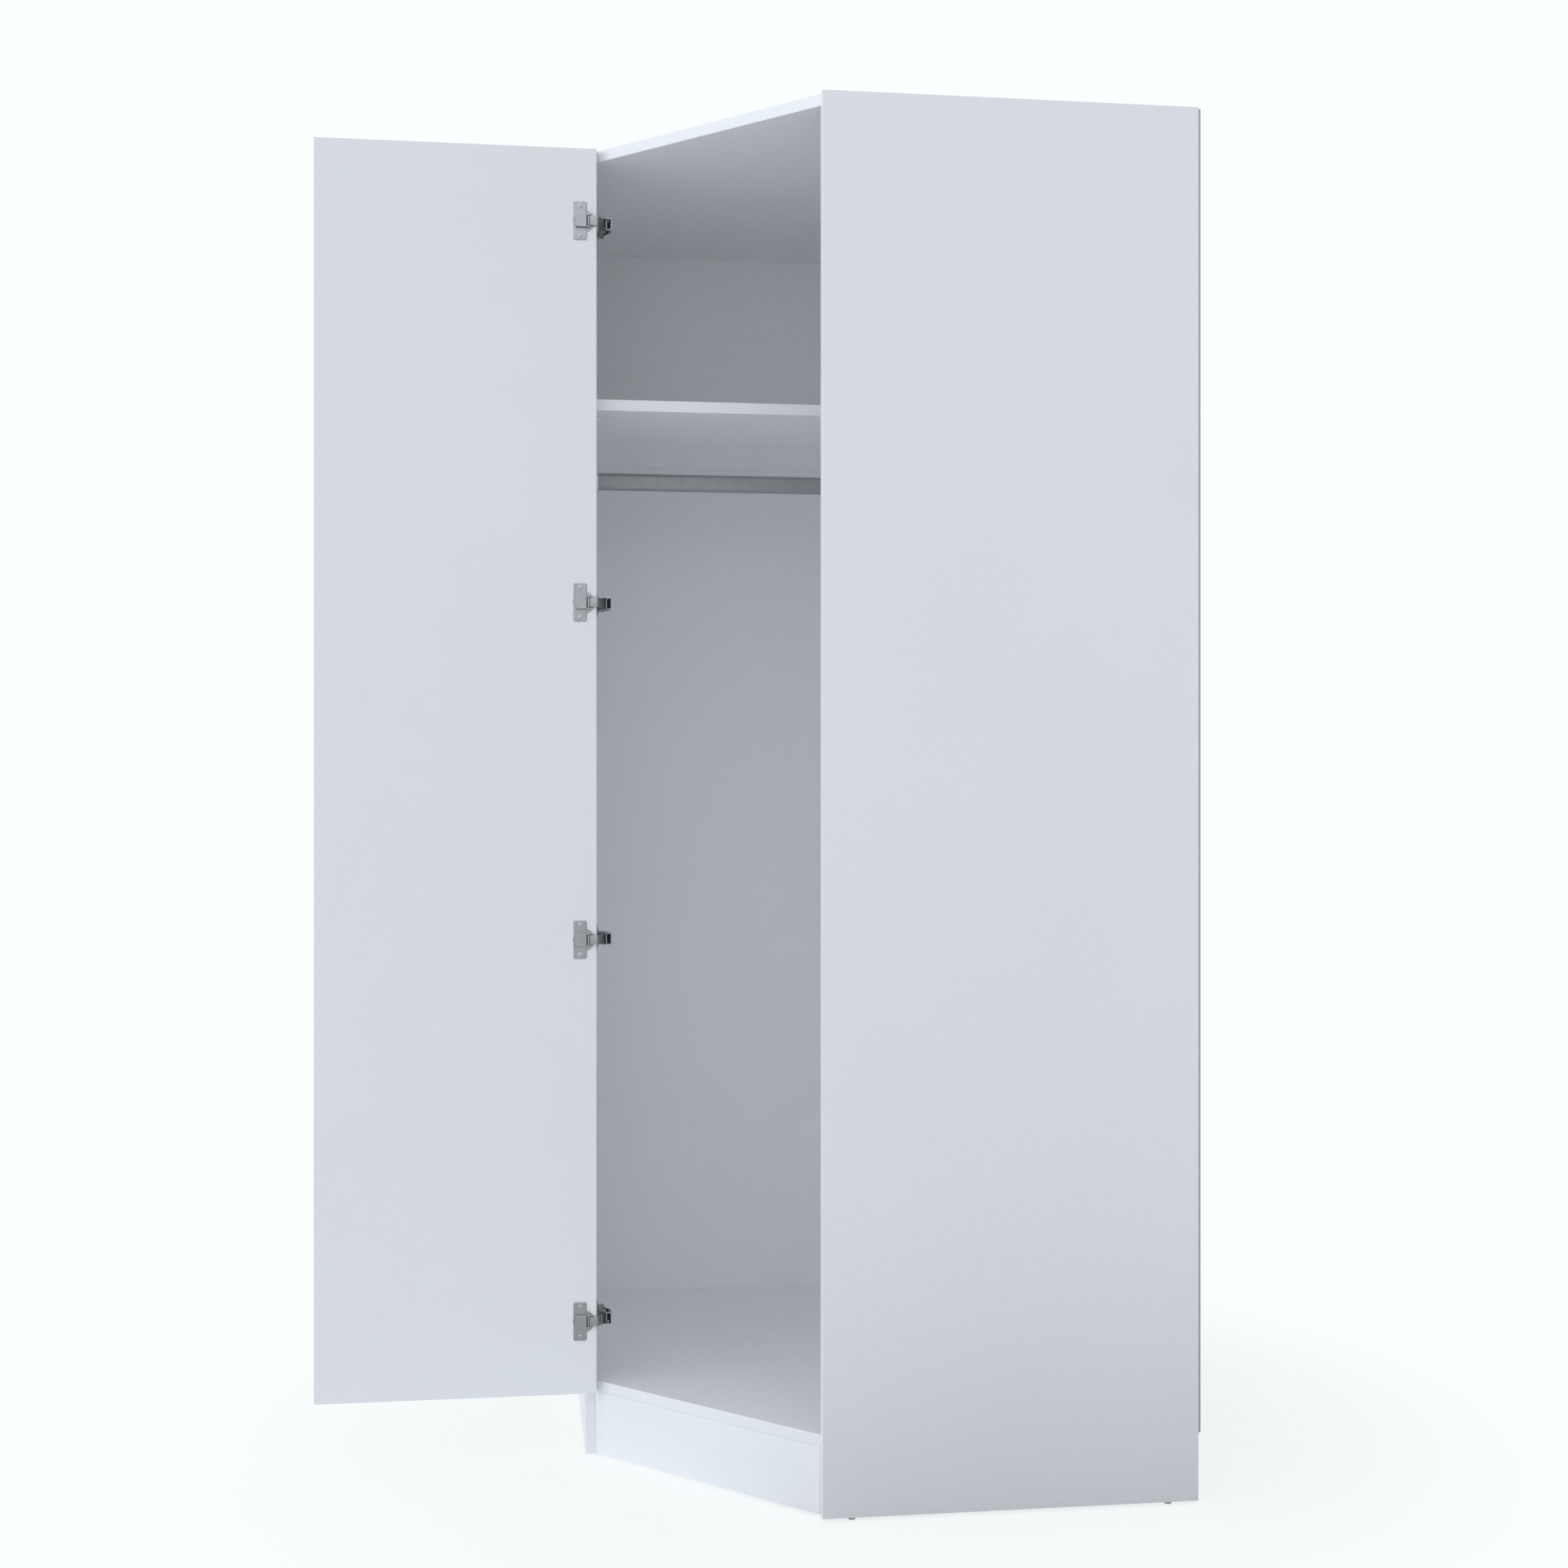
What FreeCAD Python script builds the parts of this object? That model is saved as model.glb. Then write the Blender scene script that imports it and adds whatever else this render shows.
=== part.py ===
"""Corner wardrobe with one angled door, drawn with the door folded back against the left side panel.

The room corner on the floor is the origin. +Z is up, the left back panel lies on the plane y = 0 and the
right back panel on the plane x = 0, so the wardrobe fills negative X and Y. All lengths are millimetres.
"""

import FreeCAD
import Part

import math
import os
import re

# Driving dimensions: alias, value and what it is
DRIVING = [
    # Carcass
    ("total_height", "2100", "floor to the upper face of the top panel"),
    ("wing_width", "910", "room corner to the outer face of either side panel"),
    ("front_cut", "316", "length that the angled front takes off either wing, inside the side panels"),
    ("board", "18", "thickness of the coated boards"),
    ("back_board", "4", "thickness of the back panels"),
    ("back_inset", "2", "how far the back panels stay inside the carcass outline"),
    ("edge_band", "1", "thickness of the banding on the front edges"),
    ("plinth_height", "100", "height of the plinth board"),
    ("plinth_end_gap", "2.5", "air at each end of the plinth board"),
    ("block_side", "30", "section of the blocks behind the plinth"),
    ("block_length", "80", "length of the blocks behind the plinth"),
    ("block_inset", "40", "end of the plinth to the nearest block"),
    # Feet
    ("glide_height", "5", "height of the nail glides under the side panels"),
    ("glide_radius", "6", "radius of a glide's head"),
    ("glide_foot_radius", "4", "radius of a glide's flat foot"),
    ("glide_rim", "2.5", "height of the straight rim of a glide"),
    ("glide_nail_radius", "1.5", "radius of a glide's nail"),
    ("glide_nail", "15", "length of a glide's nail"),
    ("glide_inset", "45", "ends of a side panel to its glides"),
    ("leg_inset", "75", "room corner to the axis of the corner leg"),
    ("leg_column_radius", "15", "radius of the corner leg's column"),
    ("leg_foot_radius", "23", "radius of the corner leg's foot"),
    ("leg_foot", "10", "height of the corner leg's foot"),
    ("leg_flange_radius", "32", "radius of the corner leg's flange"),
    ("leg_flange", "4", "thickness of the corner leg's flange"),
    ("leg_screw_ring", "24", "radius of the screw circle on the leg's flange"),
    # Shelf and rail
    ("shelf_height", "1686", "floor to the underside of the hat shelf"),
    ("shelf_setback", "12", "left panel's front edge to the shelf's front edge"),
    ("shelf_gap", "0.5", "air at each end of the hat shelf"),
    ("pin_radius", "2.5", "radius of a shelf pin"),
    ("pin_length", "8", "length of a shelf pin on either side of its collar"),
    ("pin_collar_radius", "4", "radius of a shelf pin's collar"),
    ("pin_collar", "1.5", "thickness of a shelf pin's collar"),
    ("pin_inset", "60", "ends of the shelf to its pins"),
    ("rail_height", "1612", "floor to the axis of the hanging rail"),
    ("rail_from_wall", "290", "left back wall to the axis of the hanging rail"),
    ("rail_tall", "30", "height of the rail's oval section"),
    ("rail_wide", "15", "width of the rail's oval section"),
    ("rail_wall", "1.2", "wall of the rail tube"),
    ("flange_plate", "3", "thickness of a rail flange"),
    ("flange_tall", "60", "height of a rail flange"),
    ("flange_wide", "26", "width of a rail flange"),
    ("flange_collar", "12", "depth of the collar that holds the rail"),
    ("flange_wall", "1.6", "wall of that collar"),
    ("flange_screw_offset", "23", "rail axis to a flange screw"),
    # Door
    ("door_swing", "135", "degrees between closed and folded back"),
    ("door_top_gap", "1.5", "top of the carcass to the top of the door"),
    ("door_bottom_gap", "2.5", "underside of the bottom panel to the bottom of the door"),
    ("door_side_gap", "2", "inner front corners to the closed door's edges"),
    ("door_face_gap", "1.5", "front line of the carcass to the closed door"),
    ("door_open_gap", "1", "left panel's front edge to the folded door"),
    ("door_open_shift", "0.5", "left panel's inner face to the folded door's hinge edge"),
    ("hinge_end", "116", "ends of the door to the outer hinges"),
    ("hinge_middle", "726", "ends of the door to the middle hinges"),
    # Hinge cup
    ("cup_tab", "3", "door edge to the rim of the cup bore"),
    ("cup_radius", "17.5", "radius of the cup bore"),
    ("cup_depth", "12", "depth of the cup bore"),
    ("cup_wall", "1.2", "wall of the cup"),
    ("cup_plate_wide", "21", "width of the cup's screw plate"),
    ("cup_plate_tall", "61", "height of the cup's screw plate"),
    ("cup_plate", "1.4", "thickness of the cup's screw plate"),
    ("cup_screw_spacing", "48", "distance between the two cup screws"),
    ("cup_screw_offset", "6", "cup axis to the line of the cup screws"),
    ("cover_near", "9", "door edge to the near end of the cup's cover"),
    ("cover_far", "35", "door edge to the far end of the cup's cover"),
    ("cover_tall", "22", "height of the cup's cover"),
    ("cover_rise", "6", "how far the cover stands off the door"),
    # Hinge link
    ("link_from_edge", "13", "door edge to the link's pivot"),
    ("link_rise", "2.75", "door's inner face to the link's pivot"),
    ("link_length", "35.5", "link's pivot to its tail pin"),
    ("link_angle", "35.8", "degrees from the folded door's face to the line of pivot and tail pin"),
    ("link_turn_share", "0.419", "turn of the link for each degree of the door"),
    ("link_crank", "14.4", "length of the link's straight run along the door"),
    ("link_height", "15", "height of the link"),
    ("link_strap", "2.5", "thickness of the link"),
    ("link_eye_radius", "2.6", "radius of the link's eyes"),
    ("pivot_radius", "1.25", "radius of the cup's pivot pins"),
    ("tail_radius", "1.5", "radius of the link's tail pins"),
    # Hinge arm and mounting plate
    ("arm_nose", "6", "how far the arm reaches in front of the left panel"),
    ("arm_rise", "23.8", "left panel to the outside of the arm"),
    ("arm_low_rise", "13.8", "left panel to the outside of the arm's tail"),
    ("arm_lift", "4", "left panel to the lower edge of the arm's sides"),
    ("arm_cover_gap", "1.8", "air between the arm's bevelled front and the cup's cover, door closed"),
    ("arm_shoulder", "14", "front edge to where the arm begins to drop"),
    ("arm_step", "30", "front edge to where the arm's tail begins"),
    ("arm_length", "50", "front edge to the end of the arm"),
    ("arm_wall", "1.2", "sheet thickness of the arm"),
    ("plate_line", "37", "front edge to the line of the plate screws"),
    ("plate_wing_wide", "18", "width of the mounting plate's wings"),
    ("plate_wing_reach", "23", "hinge height to the tip of a wing"),
    ("plate_wing_tip", "1.5", "thickness of a wing at its tip"),
    ("plate_wing_root", "5", "thickness of a wing where it meets the arm"),
    ("plate_screw_offset", "16", "hinge height to a plate screw"),
    ("plate_screw_seat", "1.6", "left panel to the underside of a plate screw's head"),
    ("plate_spine_front", "22", "front edge to the front of the plate's spine"),
    ("plate_spine", "5", "thickness of the plate's spine"),
    ("arm_screw_line", "43", "front edge to the screw that holds the arm"),
    # Connectors
    ("cam_inset", "80", "ends of a side panel to its cam bolts"),
    ("cam_reach", "34", "board edge to the axis of a cam"),
    ("cam_radius", "7.5", "radius of a cam"),
    ("cam_height", "13", "height of a cam"),
    ("cam_slot_wide", "1.6", "width of the driver slot in a cam"),
    ("cam_slot_deep", "2.5", "depth of the driver slot in a cam"),
    ("bolt_thread_radius", "2.5", "radius of a cam bolt's thread"),
    ("bolt_thread", "11", "length of a cam bolt's thread"),
    ("bolt_shaft_radius", "3", "radius of a cam bolt's shaft"),
    ("bolt_bite", "4", "how far a cam bolt reaches into its cam"),
    ("dowel_radius", "4", "radius of a dowel"),
    ("dowel_short", "10", "dowel length in the face of a board"),
    ("dowel_long", "20", "dowel length in the edge of a board"),
    ("dowel_pitch", "32", "cam bolt to the dowel beside it"),
    ("nail_radius", "0.8", "radius of a back panel nail"),
    ("nail_length", "20", "length of a back panel nail"),
    ("nail_head_radius", "2", "radius of a nail's head"),
    ("nail_head", "1", "thickness of a nail's head"),
    ("nail_margin", "60", "ends of a row of nails to the panel's ends"),
    ("screw_radius", "1.75", "radius of the wood screws"),
    ("screw_length", "14", "length of the wood screws in the wood"),
    ("block_screw_length", "42", "length of the screws through the plinth blocks"),
    ("screw_head_radius", "3.5", "radius of the screw heads"),
    ("screw_head", "1.4", "thickness of the screw heads"),
    # Clearances
    ("fit_gap", "0.05", "radial air round pins and screws in their holes"),
    ("slide_gap", "0.5", "air between sliding hinge pieces"),
    ("overrun", "5", "how far a cutting solid reaches past the face it opens"),
]

# Places and lengths that follow from the driving dimensions
FOLLOWING = [
    ("rear_face", "-back_board"),
    ("outer_face", "-wing_width"),
    ("inner_face", "-wing_width + board"),
    ("front_edge", "inner_face + front_cut"),
    ("front_run", "sqrt(2) * front_cut"),
    ("side_depth", "rear_face - front_edge"),
    ("bottom_under", "glide_height + plinth_height"),
    ("bottom_top", "bottom_under + board"),
    ("top_under", "total_height - board"),
    ("upright_face", "-back_board - board"),
    ("shelf_front", "front_edge + shelf_setback"),
    ("shelf_top", "shelf_height + board"),
    ("door_width", "front_run - 2 * door_side_gap"),
    ("door_bottom", "bottom_under + door_bottom_gap"),
    ("door_top", "total_height - door_top_gap"),
    ("door_hinge_edge", "inner_face - door_open_shift"),
    ("door_free_edge", "door_hinge_edge - door_width"),
    ("door_back", "front_edge - door_open_gap"),
    ("door_inside", "door_back - board"),
    ("closed_x", "inner_face + sqrt(0.5) * (door_side_gap - door_face_gap)"),
    ("closed_y", "front_edge - sqrt(0.5) * (door_side_gap + door_face_gap)"),
    ("half_cot", "0.5 / tan(0.5 * door_swing * 1 deg)"),
    ("axis_x", "0.5 * (door_hinge_edge + closed_x) - half_cot * (closed_y - door_inside)"),
    ("axis_y", "0.5 * (door_inside + closed_y) + half_cot * (closed_x - door_hinge_edge)"),
    ("pivot_x", "door_hinge_edge - link_from_edge"),
    ("pivot_y", "door_inside - link_rise"),
    ("arm_bevel", "sqrt(2) * (cover_rise - door_face_gap + arm_cover_gap)"),
]

LEVELS = ("bottom", "top")
UPRIGHT_NAIL_COUNT = 8
NAIL_SHARES = (0.25, 0.5, 0.75)
LEG_SCREWS = 4
SLOT_STEPS = 4
UP = FreeCAD.Vector(0, 0, 1)

doc = FreeCAD.newDocument("corner_wardrobe")
sheet = doc.addObject("Spreadsheet::Sheet", "sizes")
nodes = []
holes = {}


def fill_sheet():
    """Writes the driving dimensions, then the cells that follow from them."""
    row = 1
    for alias, value, meaning in DRIVING:
        sheet.set(f"A{row}", meaning)
        sheet.set(f"B{row}", value)
        sheet.setAlias(f"B{row}", alias)
        row += 1
    doc.recompute()
    for alias, formula in FOLLOWING:
        sheet.set(f"B{row}", "=" + formula)
        sheet.setAlias(f"B{row}", alias)
        row += 1
    doc.recompute()


ALIASES = {entry[0] for entry in DRIVING + FOLLOWING}


def size(alias):
    """The value of one cell of the sheet."""
    return float(sheet.get(alias))


def bound(text):
    """An expression on the sheet's cells, from a text that names their aliases."""
    return re.sub(r"[a-z_]+", lambda word: "sizes." + word[0] if word[0] in ALIASES else word[0], text)


def node(label, item):
    """Gives a finished sub-part its label, which names its file."""
    item.Label = label
    nodes.append(item)
    return item


def place(item, corner, turn=None):
    """Ties an object's place, and its turn about Z, to the sheet."""
    for axis, text in zip("xyz", corner):
        item.setExpression(f"Placement.Base.{axis}", bound(text))
    if turn is not None:
        item.setExpression("Placement.Rotation.Angle", bound(turn))
    return item


def box(name, corner, extent, turn=None):
    """A box with its low corner and its three lengths tied to the sheet."""
    item = doc.addObject("Part::Box", name)
    for side, text in zip(("Length", "Width", "Height"), extent):
        item.setExpression(side, bound(text))
    return place(item, corner, turn)


def round_bar(name, corner, radius, height):
    """An upright cylinder tied to the sheet."""
    item = doc.addObject("Part::Cylinder", name)
    item.setExpression("Radius", bound(radius))
    item.setExpression("Height", bound(height))
    return place(item, corner)


def fused(name, items):
    """One solid from several objects."""
    item = doc.addObject("Part::MultiFuse", name)
    item.Shapes = items
    return item


def cut(name, base, tool):
    """The base without the tool."""
    item = doc.addObject("Part::Cut", name)
    item.Base = base
    item.Tool = tool
    return item


def solid(name, shape, corner=None):
    """A piece whose shape is worked out here from the sheet, placed after its shape is set."""
    item = doc.addObject("Part::Feature", name)
    item.Shape = shape
    if corner is not None:
        item.Placement = FreeCAD.Placement(corner, FreeCAD.Rotation())
    return item


def rod(start, along, radius, length):
    """A round rod from a point in a direction."""
    return Part.makeCylinder(radius, length, start, along)


def prism(points, low, high):
    """An upright prism over a plan outline, between two heights."""
    corners = [FreeCAD.Vector(x, y, low) for x, y in points]
    face = Part.Face(Part.makePolygon(corners + corners[:1]))
    return face.extrude(UP * (high - low))


def bore(board, start, along, radius, depth):
    """Notes a round hole for a board, opened past the face it starts at."""
    back = size("overrun")
    holes.setdefault(board, []).append(rod(start - along * back, along, radius, depth + back))


def blind(board, start, along, radius, depth):
    """Notes a round hole inside a board, closed at both ends."""
    holes.setdefault(board, []).append(rod(start, along, radius, depth))


def drilled(label, base):
    """The board with all its noted holes, as a finished sub-part."""
    if label not in holes:
        return node(label, base)
    bits = solid(label + "_bits", holes[label][0].multiFuse(holes[label][1:]))
    return node(label, cut(label + "_drilled", base, bits))


def spread(low, high, count):
    """Evenly spaced places from the first to the last."""
    return [low + (high - low) * index / (count - 1) for index in range(count)]


def mirrored(vector):
    """The same place or direction on the other wing."""
    return FreeCAD.Vector(vector.y, vector.x, vector.z)


def on_wing(side, vector):
    """A place drawn for the right wing, on the wing asked for."""
    return vector if side == "right" else mirrored(vector)


def headed(start, along, radius, length, head_radius, head):
    """A screw or nail with its head's outer face at the start."""
    return rod(start, along, head_radius, head).fuse(rod(start, along, radius, head + length))


def wood_screw(start, along, length):
    """A wood screw of the common size, its head's underside at the start."""
    head, head_radius = size("screw_head"), size("screw_head_radius")
    return headed(start - along * head, along, size("screw_radius"), length, head_radius, head)


def screw_hole(board, start, along, length):
    """The hole that a wood screw needs in a piece that it goes through or into."""
    bore(board, start, along, size("screw_radius") + size("fit_gap"), length)


def add_cam_joints():
    """Cam bolts, cams and dowels between the side panels and the top and bottom panels."""
    half = size("board") / 2
    middle = {"bottom": size("bottom_under") + half, "top": size("top_under") + half}
    outside = {"bottom": size("bottom_under"), "top": size("total_height")}
    inward = {"bottom": UP, "top": -UP}
    places = {
        size("front_edge") + size("cam_inset"): size("dowel_pitch"),
        size("rear_face") - size("cam_inset"): -size("dowel_pitch"),
    }
    gap, thread = size("fit_gap"), size("bolt_thread")
    shaft = size("cam_reach") - size("cam_radius") + size("bolt_bite")
    bolts, cams, dowels = [], [], []
    for side in ("right", "left"):
        into = on_wing(side, FreeCAD.Vector(0, 1, 0))
        for level in LEVELS:
            panel, board = side + "_side_panel", level + "_panel"
            for where, pitch in places.items():
                foot = on_wing(side, FreeCAD.Vector(where, size("inner_face"), middle[level]))
                screw_end = rod(foot - into * thread, into, size("bolt_thread_radius"), thread)
                bolts.append(screw_end.fuse(rod(foot, into, size("bolt_shaft_radius"), shaft)))
                bore(panel, foot, -into, size("bolt_thread_radius") + gap, thread)
                bore(board, foot, into, size("bolt_shaft_radius") + gap, size("cam_reach"))
                top = foot + into * size("cam_reach")
                top.z = outside[level]
                down = inward[level]
                bore(board, top, down, size("cam_radius") + gap, size("cam_height"))
                cams.append(cam_lock(top, down, foot, into))
                beside = foot + on_wing(side, FreeCAD.Vector(pitch, 0, 0))
                dowels.append(dowel(beside, into))
                bore(panel, beside, -into, size("dowel_radius") + gap, size("dowel_short"))
                bore(board, beside, into, size("dowel_radius") + gap, size("dowel_long"))
    return bolts, cams, dowels


def cam_lock(top, down, foot, into):
    """A cam with its mouth for the bolt and the slot for the driver."""
    body = rod(top, down, size("cam_radius"), size("cam_height"))
    mouth = rod(foot, into, size("bolt_shaft_radius") + size("slide_gap"), size("cam_reach"))
    wide, deep = size("cam_slot_wide"), size("cam_slot_deep")
    slot = Part.makeBox(2 * size("cam_radius"), wide, 2 * deep)
    slot.translate(top - FreeCAD.Vector(size("cam_radius"), wide / 2, deep))
    return body.cut(mouth).cut(slot)


def dowel(seam, into):
    """A dowel that crosses a seam, short end in the face and long end in the edge."""
    length = size("dowel_short") + size("dowel_long")
    return rod(seam - into * size("dowel_short"), into, size("dowel_radius"), length)


def add_upright_dowels():
    """Dowels that hold the upright board between the bottom and the top panel."""
    gap = size("fit_gap")
    ends = (
        ("bottom_panel", size("bottom_top"), UP),
        ("top_panel", size("top_under"), -UP),
    )
    across = (size("shelf_front") + size("cam_inset"), size("rear_face") - size("cam_inset"))
    dowels = []
    for board, height, into in ends:
        for where in across:
            seam = FreeCAD.Vector(size("upright_face") + size("board") / 2, where, height)
            dowels.append(dowel(seam, into))
            bore(board, seam, -into, size("dowel_radius") + gap, size("dowel_short"))
            bore("inner_upright", seam, into, size("dowel_radius") + gap, size("dowel_long"))
    return dowels


def add_nails():
    """Nails through the back panels into the rear edges of the boards."""
    half = size("board") / 2
    low = size("bottom_under") + size("back_inset") + size("nail_margin")
    high = size("total_height") - size("back_inset") - size("nail_margin")
    up = spread(low, high, UPRIGHT_NAIL_COUNT)
    across = [size("inner_face") * share for share in NAIL_SHARES]
    rows = {
        "left": [
            ("left_side_panel", [(size("outer_face") + half, z) for z in up]),
            ("inner_upright", [(size("upright_face") + half, z) for z in up]),
            ("hat_shelf", [(x, size("shelf_height") + half) for x in across]),
        ],
        "right": [("right_side_panel", [(size("outer_face") + half, z) for z in up])],
    }
    for row in rows.values():
        row.append(("top_panel", [(x, size("total_height") - half) for x in across]))
        row.append(("bottom_panel", [(x, size("bottom_under") + half) for x in across]))
    nails = []
    length, head = size("nail_length"), size("nail_head")
    radius, head_radius, gap = size("nail_radius"), size("nail_head_radius"), size("fit_gap")
    for side, boards in rows.items():
        into = FreeCAD.Vector(0, -1, 0) if side == "left" else FreeCAD.Vector(-1, 0, 0)
        for board, places in boards:
            for along, height in places:
                start = FreeCAD.Vector(along, 0, height)
                start = start if side == "left" else mirrored(start)
                nails.append(headed(start, into, radius, length, head_radius, head))
                panel = f"back_panel_{side}"
                bore(panel, start, into, head_radius + gap, head)
                blind(panel, start, into, radius + gap, size("back_board") + size("overrun"))
                blind(board, start, into, radius + gap, head + length)
    return nails


def add_glides():
    """Nail glides under the ends of the side panels."""
    glides = []
    rim, nail_radius = size("glide_rim"), size("glide_nail_radius")
    cone = size("glide_height") - rim
    for side in ("right", "left"):
        for where in (size("front_edge") + size("glide_inset"), size("rear_face") - size("glide_inset")):
            foot = on_wing(side, FreeCAD.Vector(where, size("outer_face") + size("board") / 2, 0))
            dome = Part.makeCone(size("glide_foot_radius"), size("glide_radius"), cone, foot)
            seat = foot + UP * size("glide_height")
            head = rod(seat - UP * rim, UP, size("glide_radius"), rim)
            nail = rod(seat - UP * rim, UP, nail_radius, rim + size("glide_nail"))
            glides.append(dome.multiFuse([head, nail]))
            bore(side + "_side_panel", seat, UP, nail_radius + size("fit_gap"), size("glide_nail"))
    return glides


def add_shelf_pins():
    """Pins in the left panel and the upright that carry the hat shelf."""
    height = size("shelf_height") - size("pin_radius")
    ends = (
        ("left_side_panel", size("inner_face"), FreeCAD.Vector(1, 0, 0)),
        ("inner_upright", size("upright_face"), FreeCAD.Vector(-1, 0, 0)),
    )
    pins = []
    for board, face, into in ends:
        for where in (size("shelf_front") + size("pin_inset"), size("rear_face") - size("pin_inset")):
            seat = FreeCAD.Vector(face, where, height)
            collar_seat = seat - UP * (size("pin_collar_radius") - size("pin_radius") / 2)
            collar = rod(collar_seat, into, size("pin_collar_radius"), size("pin_collar"))
            length = 2 * size("pin_length") + size("pin_collar")
            pin = rod(seat - into * size("pin_length"), into, size("pin_radius"), length)
            pins.append(pin.fuse(collar))
            bore(board, seat, -into, size("pin_radius") + size("fit_gap"), size("pin_length"))
    return pins


def oval_bar(name, start, length, tall, wide):
    """A bar along X with an oval section, centred on the rail's axis."""
    pieces = [box(
        name + "_web",
        (start, f"-rail_from_wall - ({wide}) / 2", f"rail_height - (({tall}) - ({wide})) / 2"),
        (length, wide, f"({tall}) - ({wide})"),
    )]
    for end, sign in (("low", "-"), ("high", "+")):
        corner = (start, "-rail_from_wall", f"rail_height {sign} (({tall}) - ({wide})) / 2")
        bar = round_bar(f"{name}_{end}", corner, f"({wide}) / 2", length)
        bar.Placement.Rotation = FreeCAD.Rotation(FreeCAD.Vector(0, 1, 0), 90)
        pieces.append(bar)
    return fused(name, pieces)


def add_rail():
    """The oval hanging rail and the two flanges that hold its ends."""
    start = "inner_face + flange_plate"
    length = "upright_face - inner_face - 2 * flange_plate"
    tube = oval_bar("rail_outside", start, length, "rail_tall", "rail_wide")
    hollow = oval_bar("rail_inside", start + " - overrun", length + " + 2 * overrun",
                      "rail_tall - 2 * rail_wall", "rail_wide - 2 * rail_wall")
    node("hanging_rail", cut("rail_tube", tube, hollow))
    socket = "2 * (fit_gap + slide_gap)"
    ends = (
        ("left", "inner_face", "inner_face", "inner_face + flange_plate", "left_side_panel", 1),
        ("right", "upright_face - flange_plate", "upright_face - flange_plate - flange_collar",
         "upright_face - flange_plate - flange_collar - overrun", "inner_upright", -1),
    )
    screws = []
    for side, plate_start, collar_start, socket_start, board, sense in ends:
        label = "rail_flange_" + side
        plate = oval_bar(label + "_plate", plate_start, "flange_plate", "flange_tall", "flange_wide")
        around = f"{socket} + 2 * flange_wall"
        collar = oval_bar(label + "_collar", collar_start, "flange_plate + flange_collar",
                          f"rail_tall + {around}", f"rail_wide + {around}")
        seat = oval_bar(label + "_socket", socket_start, "flange_collar + overrun",
                        f"rail_tall + {socket}", f"rail_wide + {socket}")
        into = FreeCAD.Vector(-sense, 0, 0)
        face = size("inner_face") if side == "left" else size("upright_face")
        for offset in (-size("flange_screw_offset"), size("flange_screw_offset")):
            height = size("rail_height") + offset
            head = FreeCAD.Vector(face + sense * size("flange_plate"), -size("rail_from_wall"), height)
            screws.append(wood_screw(head, into, size("flange_plate") + size("screw_length")))
            screw_hole(label, head, into, size("flange_plate") + size("overrun"))
            screw_hole(board, FreeCAD.Vector(face, head.y, height), into, size("screw_length"))
        drilled(label, cut(label + "_body", fused(label + "_whole", [plate, collar]), seat))
    return screws


def add_corner_leg():
    """The round leg that carries the bottom panel in the room corner."""
    centre = ("-leg_inset", "-leg_inset")
    column = round_bar("leg_column", (*centre, "0"), "leg_column_radius", "bottom_under")
    foot = round_bar("leg_foot_pad", (*centre, "0"), "leg_foot_radius", "leg_foot")
    flange = round_bar("leg_flange_disc", (*centre, "bottom_under - leg_flange"),
                       "leg_flange_radius", "leg_flange")
    screws = []
    for index in range(LEG_SCREWS):
        angle = 2 * math.pi * (index + 0.5) / LEG_SCREWS
        ring = FreeCAD.Vector(math.cos(angle), math.sin(angle), 0) * size("leg_screw_ring")
        seat = ring + FreeCAD.Vector(-size("leg_inset"), -size("leg_inset"), size("bottom_under"))
        head = seat - UP * size("leg_flange")
        screws.append(wood_screw(head, UP, size("leg_flange") + size("screw_length")))
        screw_hole("corner_leg", head, UP, size("leg_flange") + size("overrun"))
        screw_hole("bottom_panel", seat, UP, size("screw_length"))
    drilled("corner_leg", fused("leg_whole", [column, foot, flange]))
    return screws


def front_strip(name, along, length, behind, thick, low, tall):
    """A straight strip parallel to the angled front, measured along it from the left inner corner."""
    root = "sqrt(0.5)"
    corner = (
        f"inner_face + {root} * (({along}) + ({behind}))",
        f"front_edge - {root} * (({along}) - ({behind}))",
        low,
    )
    return box(name, corner, (length, thick, tall), "-45")


def front_point(along, behind, height):
    """A point measured along the front line and behind it."""
    root = math.sqrt(0.5)
    return FreeCAD.Vector(
        size("inner_face") + root * (along + behind),
        size("front_edge") - root * (along - behind),
        height,
    )


def add_plinth():
    """The plinth board, with two screwed blocks that hang it under the bottom panel."""
    inward = FreeCAD.Vector(1, 1, 0).normalize()
    starts = {
        "left": "plinth_end_gap + block_inset",
        "right": "front_run - plinth_end_gap - block_inset - block_length",
    }
    screws = []
    middle, third = size("block_side") / 2, size("block_length") / 3
    back = size("board") + size("block_side")
    deep = size("block_screw_length")
    for side, start in starts.items():
        label = f"plinth_block_{side}"
        block = front_strip(label + "_wood", start, "block_length", "board", "block_side",
                            "bottom_under - block_side", "block_side")
        first = size("plinth_end_gap") + size("block_inset")
        if side == "right":
            first = size("front_run") - first - size("block_length")
        level = front_point(first + third, back, size("bottom_under") - middle)
        upward = front_point(first + 2 * third, back - middle, size("bottom_under") - size("block_side"))
        screws.append(wood_screw(level, -inward, deep))
        screws.append(wood_screw(upward, UP, deep))
        screw_hole(label, level, -inward, size("block_side") + size("overrun"))
        screw_hole("plinth_board", level, -inward, deep)
        screw_hole(label, upward, UP, size("block_side") + size("overrun"))
        screw_hole("bottom_panel", upward, UP, deep)
        drilled(label, block)
    board = front_strip("plinth_wood", "plinth_end_gap", "front_run - 2 * plinth_end_gap", "0", "board",
                        "glide_height", "plinth_height")
    drilled("plinth_board", board)
    return screws


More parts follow.
